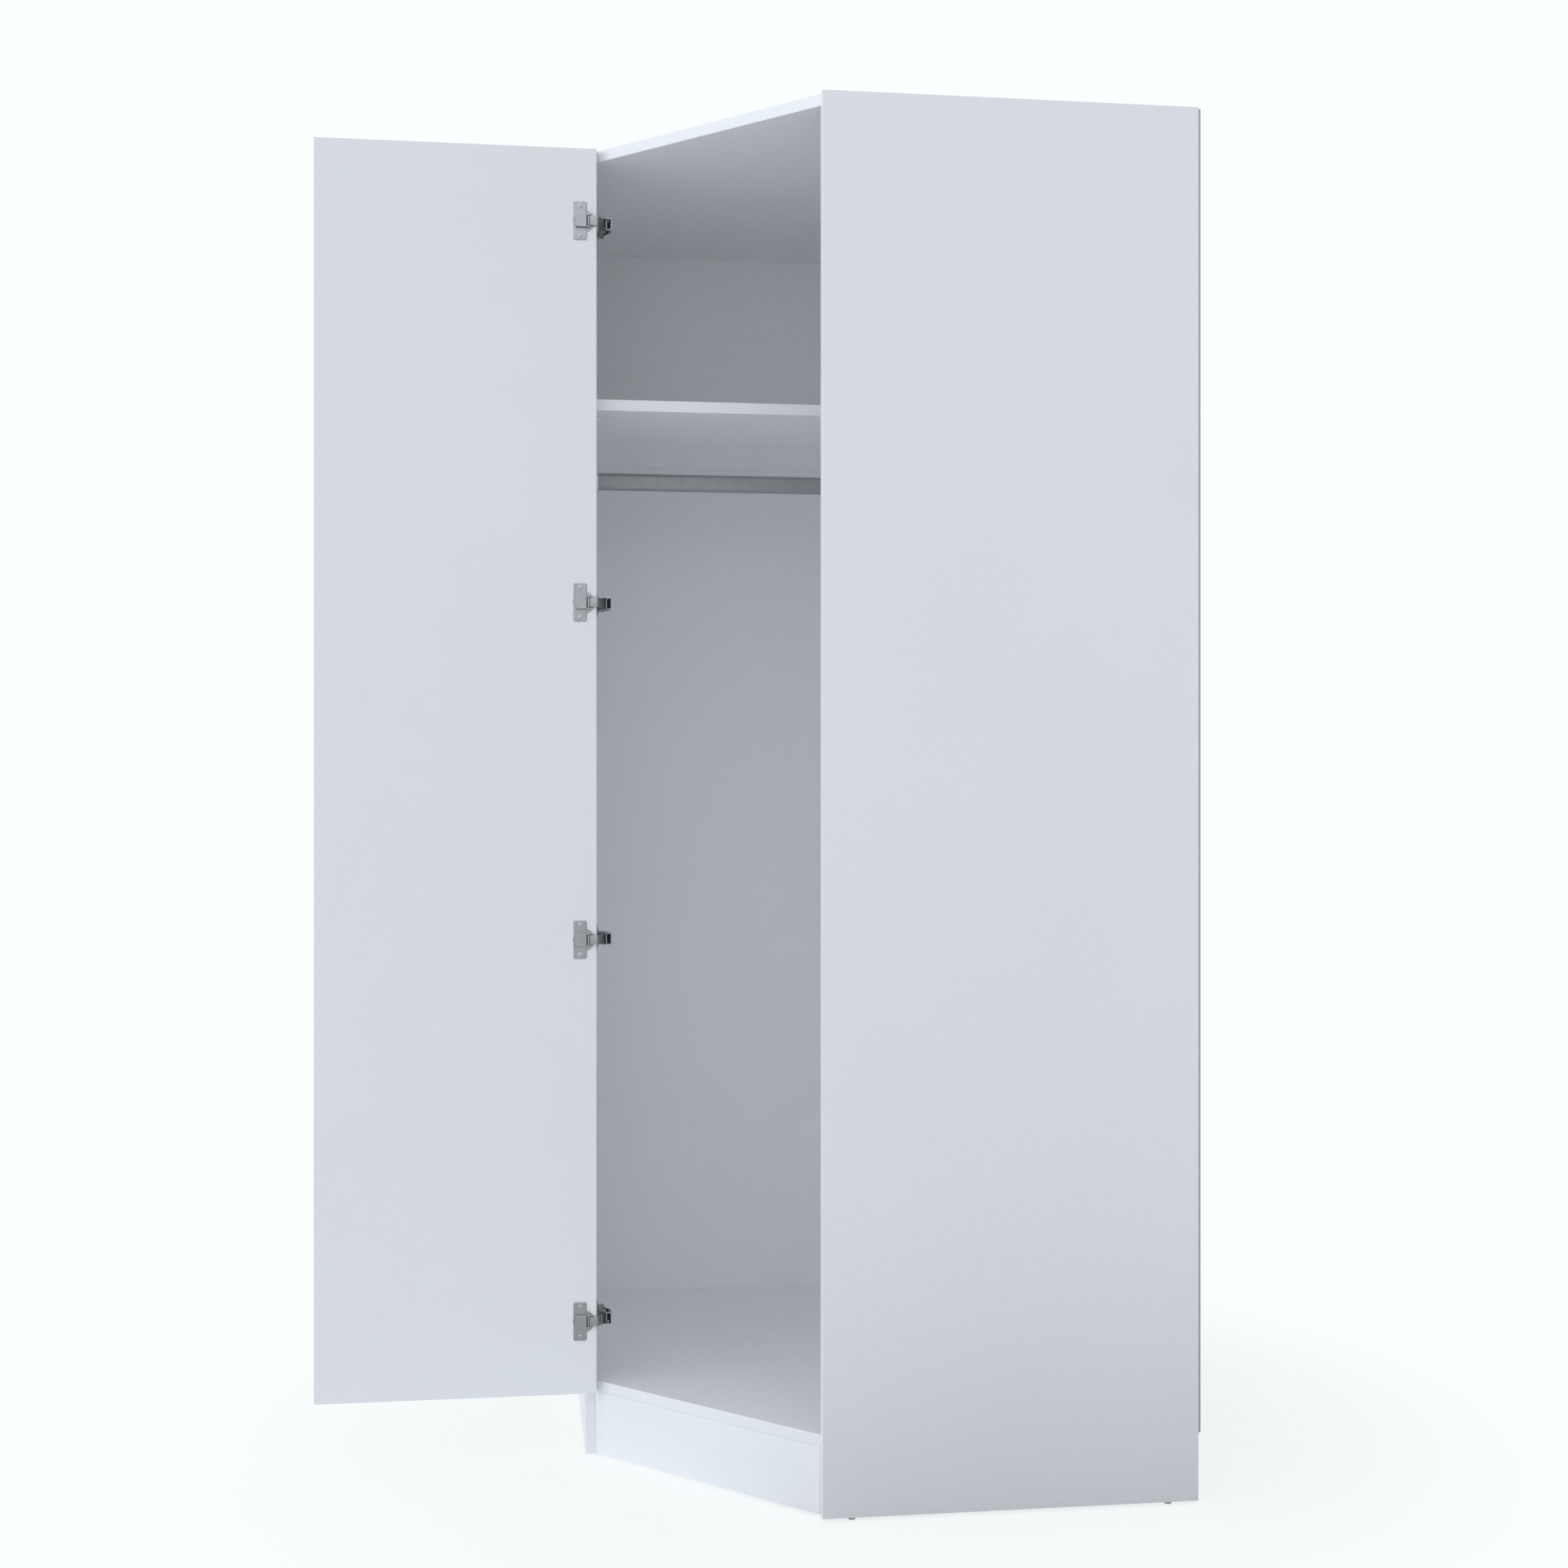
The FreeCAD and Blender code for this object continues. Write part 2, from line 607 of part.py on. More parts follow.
def five_sided(name, low):
    """A board between the side panels with its front cut along the angled line, less the banding."""
    reach = "rear_face - inner_face"
    square = box(name + "_square", ("inner_face", "inner_face", low), (reach, reach, "board"))
    span = "front_run + 2 * overrun"
    corner = front_strip(name + "_corner", "-overrun", span, "edge_band - front_run", "front_run",
                         f"{low} - overrun", "board + 2 * overrun")
    return cut(name + "_outline", square, corner)


def add_carcass_boards():
    """Side, top, bottom, shelf, upright and back boards, with the banding on their front edges."""
    tall = "total_height - glide_height"
    deep = "side_depth - edge_band"
    drilled("right_side_panel", box("right_wood", ("front_edge + edge_band", "outer_face", "glide_height"),
                                    (deep, "board", tall)))
    drilled("left_side_panel", box("left_wood", ("outer_face", "front_edge + edge_band", "glide_height"),
                                   ("board", deep, tall)))
    node("right_edge_band", box("right_band", ("front_edge", "outer_face", "glide_height"),
                                ("edge_band", "board", tall)))
    node("left_edge_band", box("left_band", ("outer_face", "front_edge", "glide_height"),
                               ("board", "edge_band", tall)))
    for level, low in zip(LEVELS, ("bottom_under", "top_under")):
        drilled(level + "_panel", five_sided(level, low))
        node(level + "_edge_band", front_strip(level + "_band", "0", "front_run", "0", "edge_band",
                                               low, "board"))
    shelf_start = "inner_face + shelf_gap"
    shelf_run = "upright_face - inner_face - 2 * shelf_gap"
    drilled("hat_shelf", box("shelf_wood", (shelf_start, "shelf_front + edge_band", "shelf_height"),
                             (shelf_run, "rear_face - shelf_front - edge_band", "board")))
    node("shelf_edge_band", box("shelf_band", (shelf_start, "shelf_front", "shelf_height"),
                                (shelf_run, "edge_band", "board")))
    drilled("inner_upright", box("upright_wood", ("upright_face", "shelf_front", "bottom_top"),
                                 ("board", "rear_face - shelf_front", "top_under - bottom_top")))
    back_low = "bottom_under + back_inset"
    back_tall = "total_height - bottom_under - 2 * back_inset"
    drilled("back_panel_left", box("back_left_sheet", ("back_inset - wing_width", "rear_face", back_low),
                                   ("wing_width - back_inset", "back_board", back_tall)))
    drilled("back_panel_right", box("back_right_sheet", ("rear_face", "back_inset - wing_width", back_low),
                                    ("back_board", "wing_width - back_inset - back_board", back_tall)))


def hinge_heights():
    """The heights of the four hinges, from the top of the door down."""
    low, high = size("door_bottom"), size("door_top")
    return [
        high - size("hinge_end"),
        high - size("hinge_middle"),
        low + size("hinge_middle"),
        low + size("hinge_end"),
    ]


def cup_shape():
    """A hinge cup drawn from the door's edge: -X goes into the leaf and -Y stands off its face."""
    axis_line = -size("cup_tab") - size("cup_radius")
    toward = FreeCAD.Vector(0, 1, 0)
    face = FreeCAD.Vector(axis_line, 0, 0)
    radius = size("cup_radius") - size("fit_gap")
    depth, wall = size("cup_depth") - size("slide_gap"), size("cup_wall")
    well = rod(face, toward, radius, depth).cut(rod(face, toward, radius - wall, depth - wall))
    flange = rod(face, -toward, radius, size("cup_plate"))
    screw_line = axis_line - size("cup_screw_offset")
    half_wide, half_tall = size("cup_plate_wide") / 2, size("cup_plate_tall") / 2
    plate = prism(
        [(screw_line - half_wide, -size("cup_plate")), (screw_line + half_wide, -size("cup_plate")),
         (screw_line + half_wide, 0), (screw_line - half_wide, 0)],
        -half_tall, half_tall,
    )
    near, far, rise = -size("cover_near"), -size("cover_far"), -size("cover_rise")
    half_cover = size("cover_tall") / 2
    cover = prism([(far, 0), (near, 0), (near, rise), (far, rise)], -half_cover, half_cover)
    slot_end = -size("link_from_edge") - size("link_eye_radius") - 2 * size("slide_gap")
    slot_half = size("link_height") / 2 + size("slide_gap")
    past = size("overrun")
    slot = prism([(slot_end, 0), (0, 0), (0, rise - past), (slot_end, rise - past)], -slot_half, slot_half)
    pin_low = FreeCAD.Vector(-size("link_from_edge"), -size("link_rise"), -half_cover - past)
    pin_hole = rod(pin_low, UP, size("pivot_radius") + size("fit_gap"), 2 * (half_cover + past))
    cup = well.multiFuse([flange, plate, cover]).cut(slot).cut(pin_hole)
    screw_bore = size("screw_radius") + size("fit_gap")
    for sign in (-1, 1):
        start = FreeCAD.Vector(screw_line, -size("cup_plate") - past, sign * size("cup_screw_spacing") / 2)
        cup = cup.cut(rod(start, toward, screw_bore, size("cup_plate") + 2 * past))
    return cup.removeSplitter()


def tail_place(share):
    """Where the tail pin is, from the left inner front corner, after that share of the door's swing."""
    swing = math.radians(size("door_swing")) * share
    arm_x, arm_y = size("pivot_x") - size("axis_x"), size("pivot_y") - size("axis_y")
    pivot_x = size("axis_x") + arm_x * math.cos(swing) - arm_y * math.sin(swing)
    pivot_y = size("axis_y") + arm_x * math.sin(swing) + arm_y * math.cos(swing)
    angle = math.radians(size("link_angle")) + size("link_turn_share") * swing
    length = size("link_length")
    return FreeCAD.Vector(
        pivot_x + length * math.cos(angle) - size("inner_face"),
        pivot_y + length * math.sin(angle) - size("front_edge"),
        0,
    )


def band_along(edges, radius, low, high):
    """A band of even width with round ends along a plan line, as a solid between two heights."""
    outline = Part.Wire(edges).makeOffset2D(radius, 0, False, False, False)
    shape = Part.Face(outline).extrude(UP * (high - low))
    shape.translate(UP * low)
    return shape


def link_shape():
    """The cranked link drawn from its pivot, door folded back."""
    half = size("link_height") / 2
    angle = math.radians(size("link_angle"))
    pivot = FreeCAD.Vector(0, 0, 0)
    bend = FreeCAD.Vector(size("link_crank"), 0, 0)
    tail = FreeCAD.Vector(math.cos(angle), math.sin(angle), 0) * size("link_length")
    edges = [Part.LineSegment(pivot, bend).toShape(), Part.LineSegment(bend, tail).toShape()]
    strap = band_along(edges, size("link_strap") / 2, -half, half)
    eyes = [rod(spot - UP * half, UP, size("link_eye_radius"), 2 * half) for spot in (pivot, tail)]
    link = strap.multiFuse(eyes)
    gap, past = size("fit_gap"), size("overrun")
    for spot, radius in ((pivot, size("pivot_radius")), (tail, size("tail_radius"))):
        link = link.cut(rod(spot - UP * (half + past), UP, radius + gap, 2 * (half + past)))
    return link.removeSplitter()


def arm_shape():
    """The hinge arm drawn from the left inner front corner: a channel with a slot for the tail pin."""
    wall, lift, nose = size("arm_wall"), size("arm_lift"), size("arm_nose")
    inside = size("link_height") / 2 + size("slide_gap")
    outside = inside + wall
    rise, low_rise = size("arm_rise"), size("arm_low_rise")
    shoulder, step, end = size("arm_shoulder"), size("arm_step"), size("arm_length")
    bevel = size("arm_bevel")
    outline = [(lift, bevel - lift), (bevel + nose, -nose), (rise, -nose), (rise, shoulder),
               (low_rise, step), (low_rise, end), (lift, end)]
    past = size("overrun")
    channel = [(-past, -nose - past), (rise - wall, -nose - past), (rise - wall, shoulder - wall / 2),
               (low_rise - wall, step - wall / 2), (low_rise - wall, end + past), (-past, end + past)]
    arm = prism(outline, -outside, outside).cut(prism(channel, -inside, inside))
    edges = []
    for index in range(0, SLOT_STEPS, 2):
        points = [tail_place((index + part) / SLOT_STEPS) for part in range(3)]
        edges.append(Part.Arc(*points).toShape())
    slot = band_along(edges, size("tail_radius") + size("slide_gap"), -outside - past, outside + past)
    hole = rod(FreeCAD.Vector(low_rise + past, size("arm_screw_line"), 0), FreeCAD.Vector(-1, 0, 0),
               size("screw_radius") + size("fit_gap"), wall + 2 * past)
    return arm.cut(slot).cut(hole).removeSplitter()


def plate_shape():
    """The mounting plate drawn from the left inner front corner: tapered wings and a spine."""
    inside = size("link_height") / 2 + size("slide_gap") - size("fit_gap")
    line, wide = size("plate_line"), size("plate_wing_wide")
    root, tip, reach = size("plate_wing_root"), size("plate_wing_tip"), size("plate_wing_reach")
    outside = inside + size("fit_gap") + size("arm_wall") + size("fit_gap")
    lift = size("arm_lift") - size("fit_gap")
    section = [(0, -reach), (tip, -reach), (root, -outside), (lift, -outside), (lift, outside),
               (root, outside), (tip, reach), (0, reach)]
    corners = [FreeCAD.Vector(rise, line - wide / 2, height) for rise, height in section]
    wings = Part.Face(Part.makePolygon(corners + corners[:1])).extrude(FreeCAD.Vector(0, wide, 0))
    front, end, spine = size("plate_spine_front"), size("arm_length"), size("plate_spine")
    seat = size("arm_low_rise") - size("arm_wall")
    step = size("arm_step") + size("slide_gap")
    outline = [(0, front), (spine, front), (spine, step), (seat, step), (seat, end), (0, end)]
    plate = wings.fuse(prism(outline, -inside, inside))
    into = FreeCAD.Vector(-1, 0, 0)
    past = size("overrun")
    screw_bore = size("screw_radius") + size("fit_gap")
    head_bore = size("screw_head_radius") + size("fit_gap")
    for sign in (-1, 1):
        start = FreeCAD.Vector(root + past, line, sign * size("plate_screw_offset"))
        plate = plate.cut(rod(start, into, screw_bore, root + 2 * past))
        start.x = size("plate_screw_seat")
        plate = plate.cut(rod(start, -into, head_bore, root))
    start = FreeCAD.Vector(seat + past, size("arm_screw_line"), 0)
    plate = plate.cut(rod(start, into, screw_bore, seat + 2 * past))
    return plate.removeSplitter()


def add_hinges():
    """Four hinges: cup and pin on the door, cranked link with its tail pin, arm and plate on the panel."""
    cup, link, arm, plate = cup_shape(), link_shape(), arm_shape(), plate_shape()
    inward = FreeCAD.Vector(-1, 0, 0)
    toward = FreeCAD.Vector(0, 1, 0)
    tail = tail_place(0)
    axis_line = -size("cup_tab") - size("cup_radius")
    screw_line = axis_line - size("cup_screw_offset")
    length = size("screw_length")
    groups = {"cup_screws": [], "pivot_pins": [], "tail_pins": [], "plate_screws": [], "arm_screws": []}
    for number, height in enumerate(hinge_heights(), 1):
        at_door = FreeCAD.Vector(size("door_hinge_edge"), size("door_inside"), height)
        at_pivot = FreeCAD.Vector(size("pivot_x"), size("pivot_y"), height)
        at_panel = FreeCAD.Vector(size("inner_face"), size("front_edge"), height)
        node(f"hinge_cup_{number}", solid(f"cup_{number}", cup, at_door))
        node(f"hinge_link_{number}", solid(f"link_{number}", link, at_pivot))
        node(f"hinge_arm_{number}", solid(f"arm_{number}", arm, at_panel))
        node(f"mounting_plate_{number}", solid(f"plate_{number}", plate, at_panel))
        cup_face = at_door + FreeCAD.Vector(axis_line, 0, 0)
        bore("door_panel", cup_face, toward, size("cup_radius"), size("cup_depth"))
        for sign in (-1, 1):
            seat = at_door + FreeCAD.Vector(screw_line, 0, sign * size("cup_screw_spacing") / 2)
            head = seat - toward * size("cup_plate")
            groups["cup_screws"].append(wood_screw(head, toward, size("cup_plate") + length))
            screw_hole("door_panel", seat, toward, length)
            seat = at_panel + FreeCAD.Vector(0, size("plate_line"), sign * size("plate_screw_offset"))
            head = seat - inward * size("plate_screw_seat")
            groups["plate_screws"].append(wood_screw(head, inward, size("plate_screw_seat") + length))
            screw_hole("left_side_panel", seat, inward, length)
        half = size("cover_tall") / 2
        groups["pivot_pins"].append(rod(at_pivot - UP * half, UP, size("pivot_radius"), 2 * half))
        half = size("link_height") / 2 + size("slide_gap") + size("arm_wall")
        groups["tail_pins"].append(rod(at_panel + tail - UP * half, UP, size("tail_radius"), 2 * half))
        head = at_panel + FreeCAD.Vector(size("arm_low_rise"), size("arm_screw_line"), 0)
        groups["arm_screws"].append(wood_screw(head, inward, size("arm_low_rise")))
    for label, pieces in groups.items():
        node(label, solid(label + "_group", Part.makeCompound(pieces)))


def add_door():
    """The door leaf and the banding round its four edges, folded back against the left panel."""
    tall = "door_top - door_bottom"
    leaf = box("door_wood", ("door_free_edge + edge_band", "door_inside", "door_bottom + edge_band"),
               ("door_width - 2 * edge_band", "board", f"{tall} - 2 * edge_band"))
    drilled("door_panel", leaf)
    uprights = (("hinge", "door_hinge_edge - edge_band"), ("free", "door_free_edge"))
    for side, start in uprights:
        node(f"door_{side}_band", box(f"door_{side}_strip", (start, "door_inside", "door_bottom"),
                                      ("edge_band", "board", tall)))
    for side, low in (("lower", "door_bottom"), ("upper", "door_top - edge_band")):
        strip = box(f"door_{side}_strip", ("door_free_edge + edge_band", "door_inside", low),
                    ("door_width - 2 * edge_band", "board", "edge_band"))
        node(f"door_{side}_band", strip)


def add_groups():
    """Fasteners and feet, each kind as one node of separate solids."""
    bolts, cams, dowels = add_cam_joints()
    groups = {
        "cam_bolts": bolts,
        "cam_locks": cams,
        "dowels": dowels + add_upright_dowels(),
        "back_nails": add_nails(),
        "glides": add_glides(),
        "shelf_pins": add_shelf_pins(),
        "rail_screws": add_rail(),
        "leg_screws": add_corner_leg(),
        "plinth_screws": add_plinth(),
    }
    for label, pieces in groups.items():
        node(label, solid(label + "_group", Part.makeCompound(pieces)))


def export():
    """Checks every object and every sub-part, then writes one file for each sub-part."""
    doc.recompute()
    faults = [item.Name for item in doc.Objects if "Invalid" in item.State or "Error" in item.State]
    faults += [item.Label for item in nodes if item.Shape.isNull() or not item.Shape.isValid()]
    if faults:
        raise RuntimeError("faulty objects: " + ", ".join(faults))
    os.makedirs("parts", exist_ok=True)
    for item in nodes:
        item.Shape.exportStep(os.path.join("parts", item.Label + ".step"))
    print(len(nodes), "sub-parts, hinge axis at", round(size("axis_x"), 3), round(size("axis_y"), 3))
    print("link pivot at", round(size("pivot_x"), 3), round(size("pivot_y"), 3))


fill_sheet()
add_groups()
add_hinges()
add_door()
add_carcass_boards()
export()
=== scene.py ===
"""Corner wardrobe with its angled door folded back: finishes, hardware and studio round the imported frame.

Sizes in the classes are millimetres and degrees. Meshes are metres, in the frame's own axes: the room corner
on the floor is the origin, +Z is up and the wardrobe fills negative X and Y.
"""

import logging
import math
from dataclasses import dataclass
from enum import Enum

import bpy
import numpy as np
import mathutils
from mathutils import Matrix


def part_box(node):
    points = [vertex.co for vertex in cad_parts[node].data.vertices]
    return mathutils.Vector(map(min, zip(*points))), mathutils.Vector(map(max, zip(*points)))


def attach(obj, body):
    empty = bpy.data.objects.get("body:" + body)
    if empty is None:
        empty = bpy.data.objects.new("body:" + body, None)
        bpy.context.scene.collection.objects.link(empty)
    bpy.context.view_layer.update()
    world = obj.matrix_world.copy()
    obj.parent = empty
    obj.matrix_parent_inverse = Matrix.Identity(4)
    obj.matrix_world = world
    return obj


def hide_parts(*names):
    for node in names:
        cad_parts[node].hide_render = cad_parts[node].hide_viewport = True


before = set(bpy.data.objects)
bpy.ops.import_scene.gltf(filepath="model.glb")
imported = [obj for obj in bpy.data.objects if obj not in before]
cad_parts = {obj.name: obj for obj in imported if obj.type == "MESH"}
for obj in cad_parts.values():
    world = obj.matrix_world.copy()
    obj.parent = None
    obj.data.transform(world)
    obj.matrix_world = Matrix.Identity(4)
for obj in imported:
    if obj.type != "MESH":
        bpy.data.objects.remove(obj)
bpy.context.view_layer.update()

LOG = logging.getLogger("corner_wardrobe")
MM = 0.001

Colour = tuple[float, float, float]
Point = tuple[float, float, float]
Pair = tuple[float, float]
Vector = Point | np.ndarray
Socket = bpy.types.NodeSocket

# Along the angled front from left to right, and square to it towards the room corner.
AHEAD = np.array([1, -1, 0]) / math.sqrt(2)
BEHIND = np.array([1, 1, 0]) / math.sqrt(2)
UP = np.array([0, 0, 1])

# Faces that meet at less than this angle shade as one.
SMOOTH_ANGLE = 38

# Most of a noise lies between these values.
NOISE_SPAN = (0.3, 0.7)

LAMP_WHITE = (0.885, 0.935, 1)


class Body(Enum):
    """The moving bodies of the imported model."""

    CARCASS = "carcass"
    DOOR = "door"
    LINKS = "links"


class Facing(Enum):
    """The way that a straight edge band looks."""

    LEFT = (-1, 0, 0)
    RIGHT = (1, 0, 0)
    FRONT = (0, -1, 0)
    UP = (0, 0, 1)
    DOWN = (0, 0, -1)


class Curve(Enum):
    """How a number changes between two ends."""

    STRAIGHT = "LINEAR"
    SMOOTH = "SMOOTHSTEP"


class Slot(Enum):
    """The record's material slots."""

    MELAMINE = "white_melamine"
    BAND = "white_edge_band"
    HARDBOARD = "white_hardboard"
    WOOD = "raw_wood"
    RAIL = "rail_steel"
    WHITE = "white_plastic"
    BLACK = "black_plastic"
    NICKEL = "nickel_steel"
    ZINC = "zinc_screws"


# Surfaces


@dataclass(frozen=True)
class Surface:
    """A closed surface: points in millimetres, four-sided faces, and the flat faces that close its ends."""

    points: np.ndarray
    quads: np.ndarray
    caps: tuple[np.ndarray, ...] = ()

    def outward(self) -> "Surface":
        """Turns all faces where the signed volume is negative.

        The volume is a sixth of the sum of a . (b x c) over the triangles a, b, c.

        Returns:
            The surface with its faces pointing outwards.
        """
        fans = [np.stack([np.full(len(cap) - 2, cap[0]), cap[1:-1], cap[2:]], axis=1) for cap in self.caps]
        triangles = np.concatenate([self.quads[:, [0, 1, 2]], self.quads[:, [0, 2, 3]], *fans])
        first, second, third = (self.points[triangles[:, corner]] for corner in range(3))
        if np.einsum("ij,ij->", first, np.cross(second, third)) >= 0:
            return self
        return Surface(self.points, self.quads[:, ::-1], tuple(cap[::-1] for cap in self.caps))

    def placed(self, origin: Vector, axes: np.ndarray) -> "Surface":
        """Carries the surface's own origin and axes, one per row, into the frame."""
        return Surface(self.points @ axes + np.array(origin, float), self.quads, self.caps).outward()

    def aimed(self, origin: Vector, direction: Vector) -> "Surface":
        """Carries the surface to a point with its third axis along a direction.

        Args:
            origin: where the surface's own origin goes.
            direction: where its third axis points.

        Returns:
            The surface at its place.
        """
        third = unit(np.array(direction, float))
        helper = np.eye(3)[int(np.argmin(np.abs(third)))]
        first = unit(np.cross(helper, third))
        return self.placed(origin, np.stack([first, np.cross(third, first), third]))


def unit(vectors: np.ndarray) -> np.ndarray:
    """The same directions at the length one."""
    return vectors / np.linalg.norm(vectors, axis=-1, keepdims=True)


def joined(surfaces: list[Surface]) -> Surface:
    """Puts several closed surfaces into one.

    Args:
        surfaces: the surfaces, at their places.

    Returns:
        One surface with all their points and faces.
    """
    starts = np.cumsum([0] + [len(surface.points) for surface in surfaces])
    points = np.concatenate([surface.points for surface in surfaces])
    quads = np.concatenate([surface.quads + start for surface, start in zip(surfaces, starts)])
    caps = tuple(cap + start for surface, start in zip(surfaces, starts) for cap in surface.caps)
    return Surface(points, quads, caps)


def loft(rings: np.ndarray, tube: bool = False) -> Surface:
    """Joins a row of closed rings by four-sided faces.

    Args:
        rings: points by ring, place on the ring and axis.
        tube: whether the last ring meets the first again; otherwise both end rings are closed by a flat face.

    Returns:
        The closed surface.
    """
    count, around = rings.shape[:2]
    index = np.arange(count * around).reshape(count, around)
    rows = np.concatenate([index, index[:1]]) if tube else index
    beside = np.roll(rows, -1, axis=1)
    quads = np.stack([rows[:-1], beside[:-1], beside[1:], rows[1:]], axis=-1).reshape(-1, 4)
    caps = () if tube else (index[0, ::-1], index[-1])
    return Surface(rings.reshape(-1, 3), quads, caps).outward()


def rounded(corners: np.ndarray, radii: np.ndarray, steps: int = 7) -> np.ndarray:
    """A closed plan outline whose corners are circular arcs.

    Each arc's centre lies on the corner's bisector, at the radius divided by the sine of half the corner's
    angle, and the arc runs between the two points where its circle touches the sides.

    Args:
        corners: the corners in order.
        radii: one radius for each corner.
        steps: points on each arc.

    Returns:
        The outline's points.
    """
    last_side = unit(np.roll(corners, 1, axis=0) - corners)
    next_side = unit(np.roll(corners, -1, axis=0) - corners)
    half = np.arccos(np.clip((last_side * next_side).sum(axis=1), -1, 1)) / 2
    centres = corners + unit(last_side + next_side) * (radii / np.sin(half))[:, None]
    reach = (radii / np.tan(half))[:, None]
    first = corners + last_side * reach - centres
    last = corners + next_side * reach - centres
    start = np.arctan2(first[:, 1], first[:, 0])
    turn = (np.arctan2(last[:, 1], last[:, 0]) - start + np.pi) % (2 * np.pi) - np.pi
    angles = start[:, None] + turn[:, None] * np.linspace(0, 1, steps)
    arcs = centres[:, None] + radii[:, None, None] * np.stack([np.cos(angles), np.sin(angles)], axis=-1)
    return arcs.reshape(-1, 2)


def rectangle(low: Pair, high: Pair, radii: float | list[float]) -> np.ndarray:
    """The outline of a rectangle between two corners, with one radius or one for each corner in turn."""
    corners = np.array([low, (high[0], low[1]), high, (low[0], high[1])], float)
    return rounded(corners, np.zeros(4) + radii)


def oval(wide: float, tall: float, steps: int = 24) -> np.ndarray:
    """The outline of an oval: two half circles joined by straight sides.

    Args:
        wide: the full width, which is the half circles' diameter.
        tall: the full height.
        steps: points on each half circle.

    Returns:
        The outline's points, centred.
    """
    angles = np.linspace(0, np.pi, steps)
    top = np.stack([np.cos(angles) * wide / 2, np.sin(angles) * wide / 2 + (tall - wide) / 2], axis=1)
    return np.concatenate([top, -top])


def rim(thickness: float, top: float, bottom: float = 0, steps: int = 5) -> np.ndarray:
    """The side of a plate as insets and heights: a quarter circle at its top, and one at its bottom if given.

    Args:
        thickness: from the bottom to the top face.
        top: radius of the upper quarter circle.
        bottom: radius of the lower quarter circle, or 0 for a sharp edge.
        steps: points on each quarter circle.

    Returns:
        Pairs of inset and height, from the bottom up.
    """
    quarter = np.linspace(0, np.pi / 2, steps)
    upper = np.stack([top * (1 - np.cos(quarter)), thickness - top * (1 - np.sin(quarter))], axis=1)
    if bottom == 0:
        return np.concatenate([[[0, 0]], upper])
    lower = np.stack([bottom * (1 - np.sin(quarter)), bottom * (1 - np.cos(quarter))], axis=1)
    return np.concatenate([lower, upper])


def slab(outline: np.ndarray, side: np.ndarray) -> Surface:
    """A plate over a plan outline with shaped edges.

    Each ring is the outline with its sides moved inward by the side's inset, at the side's height: a corner
    moves along the sum of its two sides' normals, divided by one plus their scalar product. A narrow flat
    ring stands between the side and each end face, so that the face shades flat.

    Args:
        outline: the plan outline.
        side: pairs of inset and height, from the bottom up.

    Returns:
        The closed plate, its plan on the first two axes and its thickness on the third.
    """
    flat_ring = 0.2
    side = np.concatenate([side[:1] + [flat_ring, 0], side, side[-1:] + [flat_ring, 0]])
    ahead = np.roll(outline, -1, axis=0)
    along = unit(ahead - outline)
    area = (outline[:, 0] * ahead[:, 1] - outline[:, 1] * ahead[:, 0]).sum()
    after = np.stack([-along[:, 1], along[:, 0]], axis=1) * np.sign(area)
    before = np.roll(after, 1, axis=0)
    inward = (after + before) / (1 + (after * before).sum(axis=1, keepdims=True))
    plan = outline[None] + inward[None] * side[:, 0, None, None]
    heights = np.broadcast_to(side[:, 1, None, None], (*plan.shape[:2], 1))
    return loft(np.concatenate([plan, heights], axis=2))


def turned(profile: np.ndarray, steps: int = 48) -> Surface:
    """A turned piece: each radius and height of the profile is carried round the third axis.

    Args:
        profile: pairs of radius and height from one end to the other.
        steps: points round the axis.

    Returns:
        The closed surface.
    """
    angles = np.linspace(0, 2 * np.pi, steps, endpoint=False)
    radii, heights = profile[:, 0, None], profile[:, 1, None]
    rings = [radii * np.cos(angles), radii * np.sin(angles), heights + np.zeros(steps)]
    return loft(np.stack(rings, axis=-1))


def sleeve(outside: np.ndarray, inside: np.ndarray, low: float, high: float) -> Surface:
    """A tube between an outer and an inner outline with the same number of points.

    Args:
        outside: the outer outline.
        inside: the inner outline.
        low: height of one end.
        high: height of the other end.

    Returns:
        The closed tube along the third axis.
    """
    ends = ((outside, low), (outside, high), (inside, high), (inside, low))
    rings = [np.column_stack([outline, np.full(len(outline), height)]) for outline, height in ends]
    return loft(np.stack(rings), tube=True)


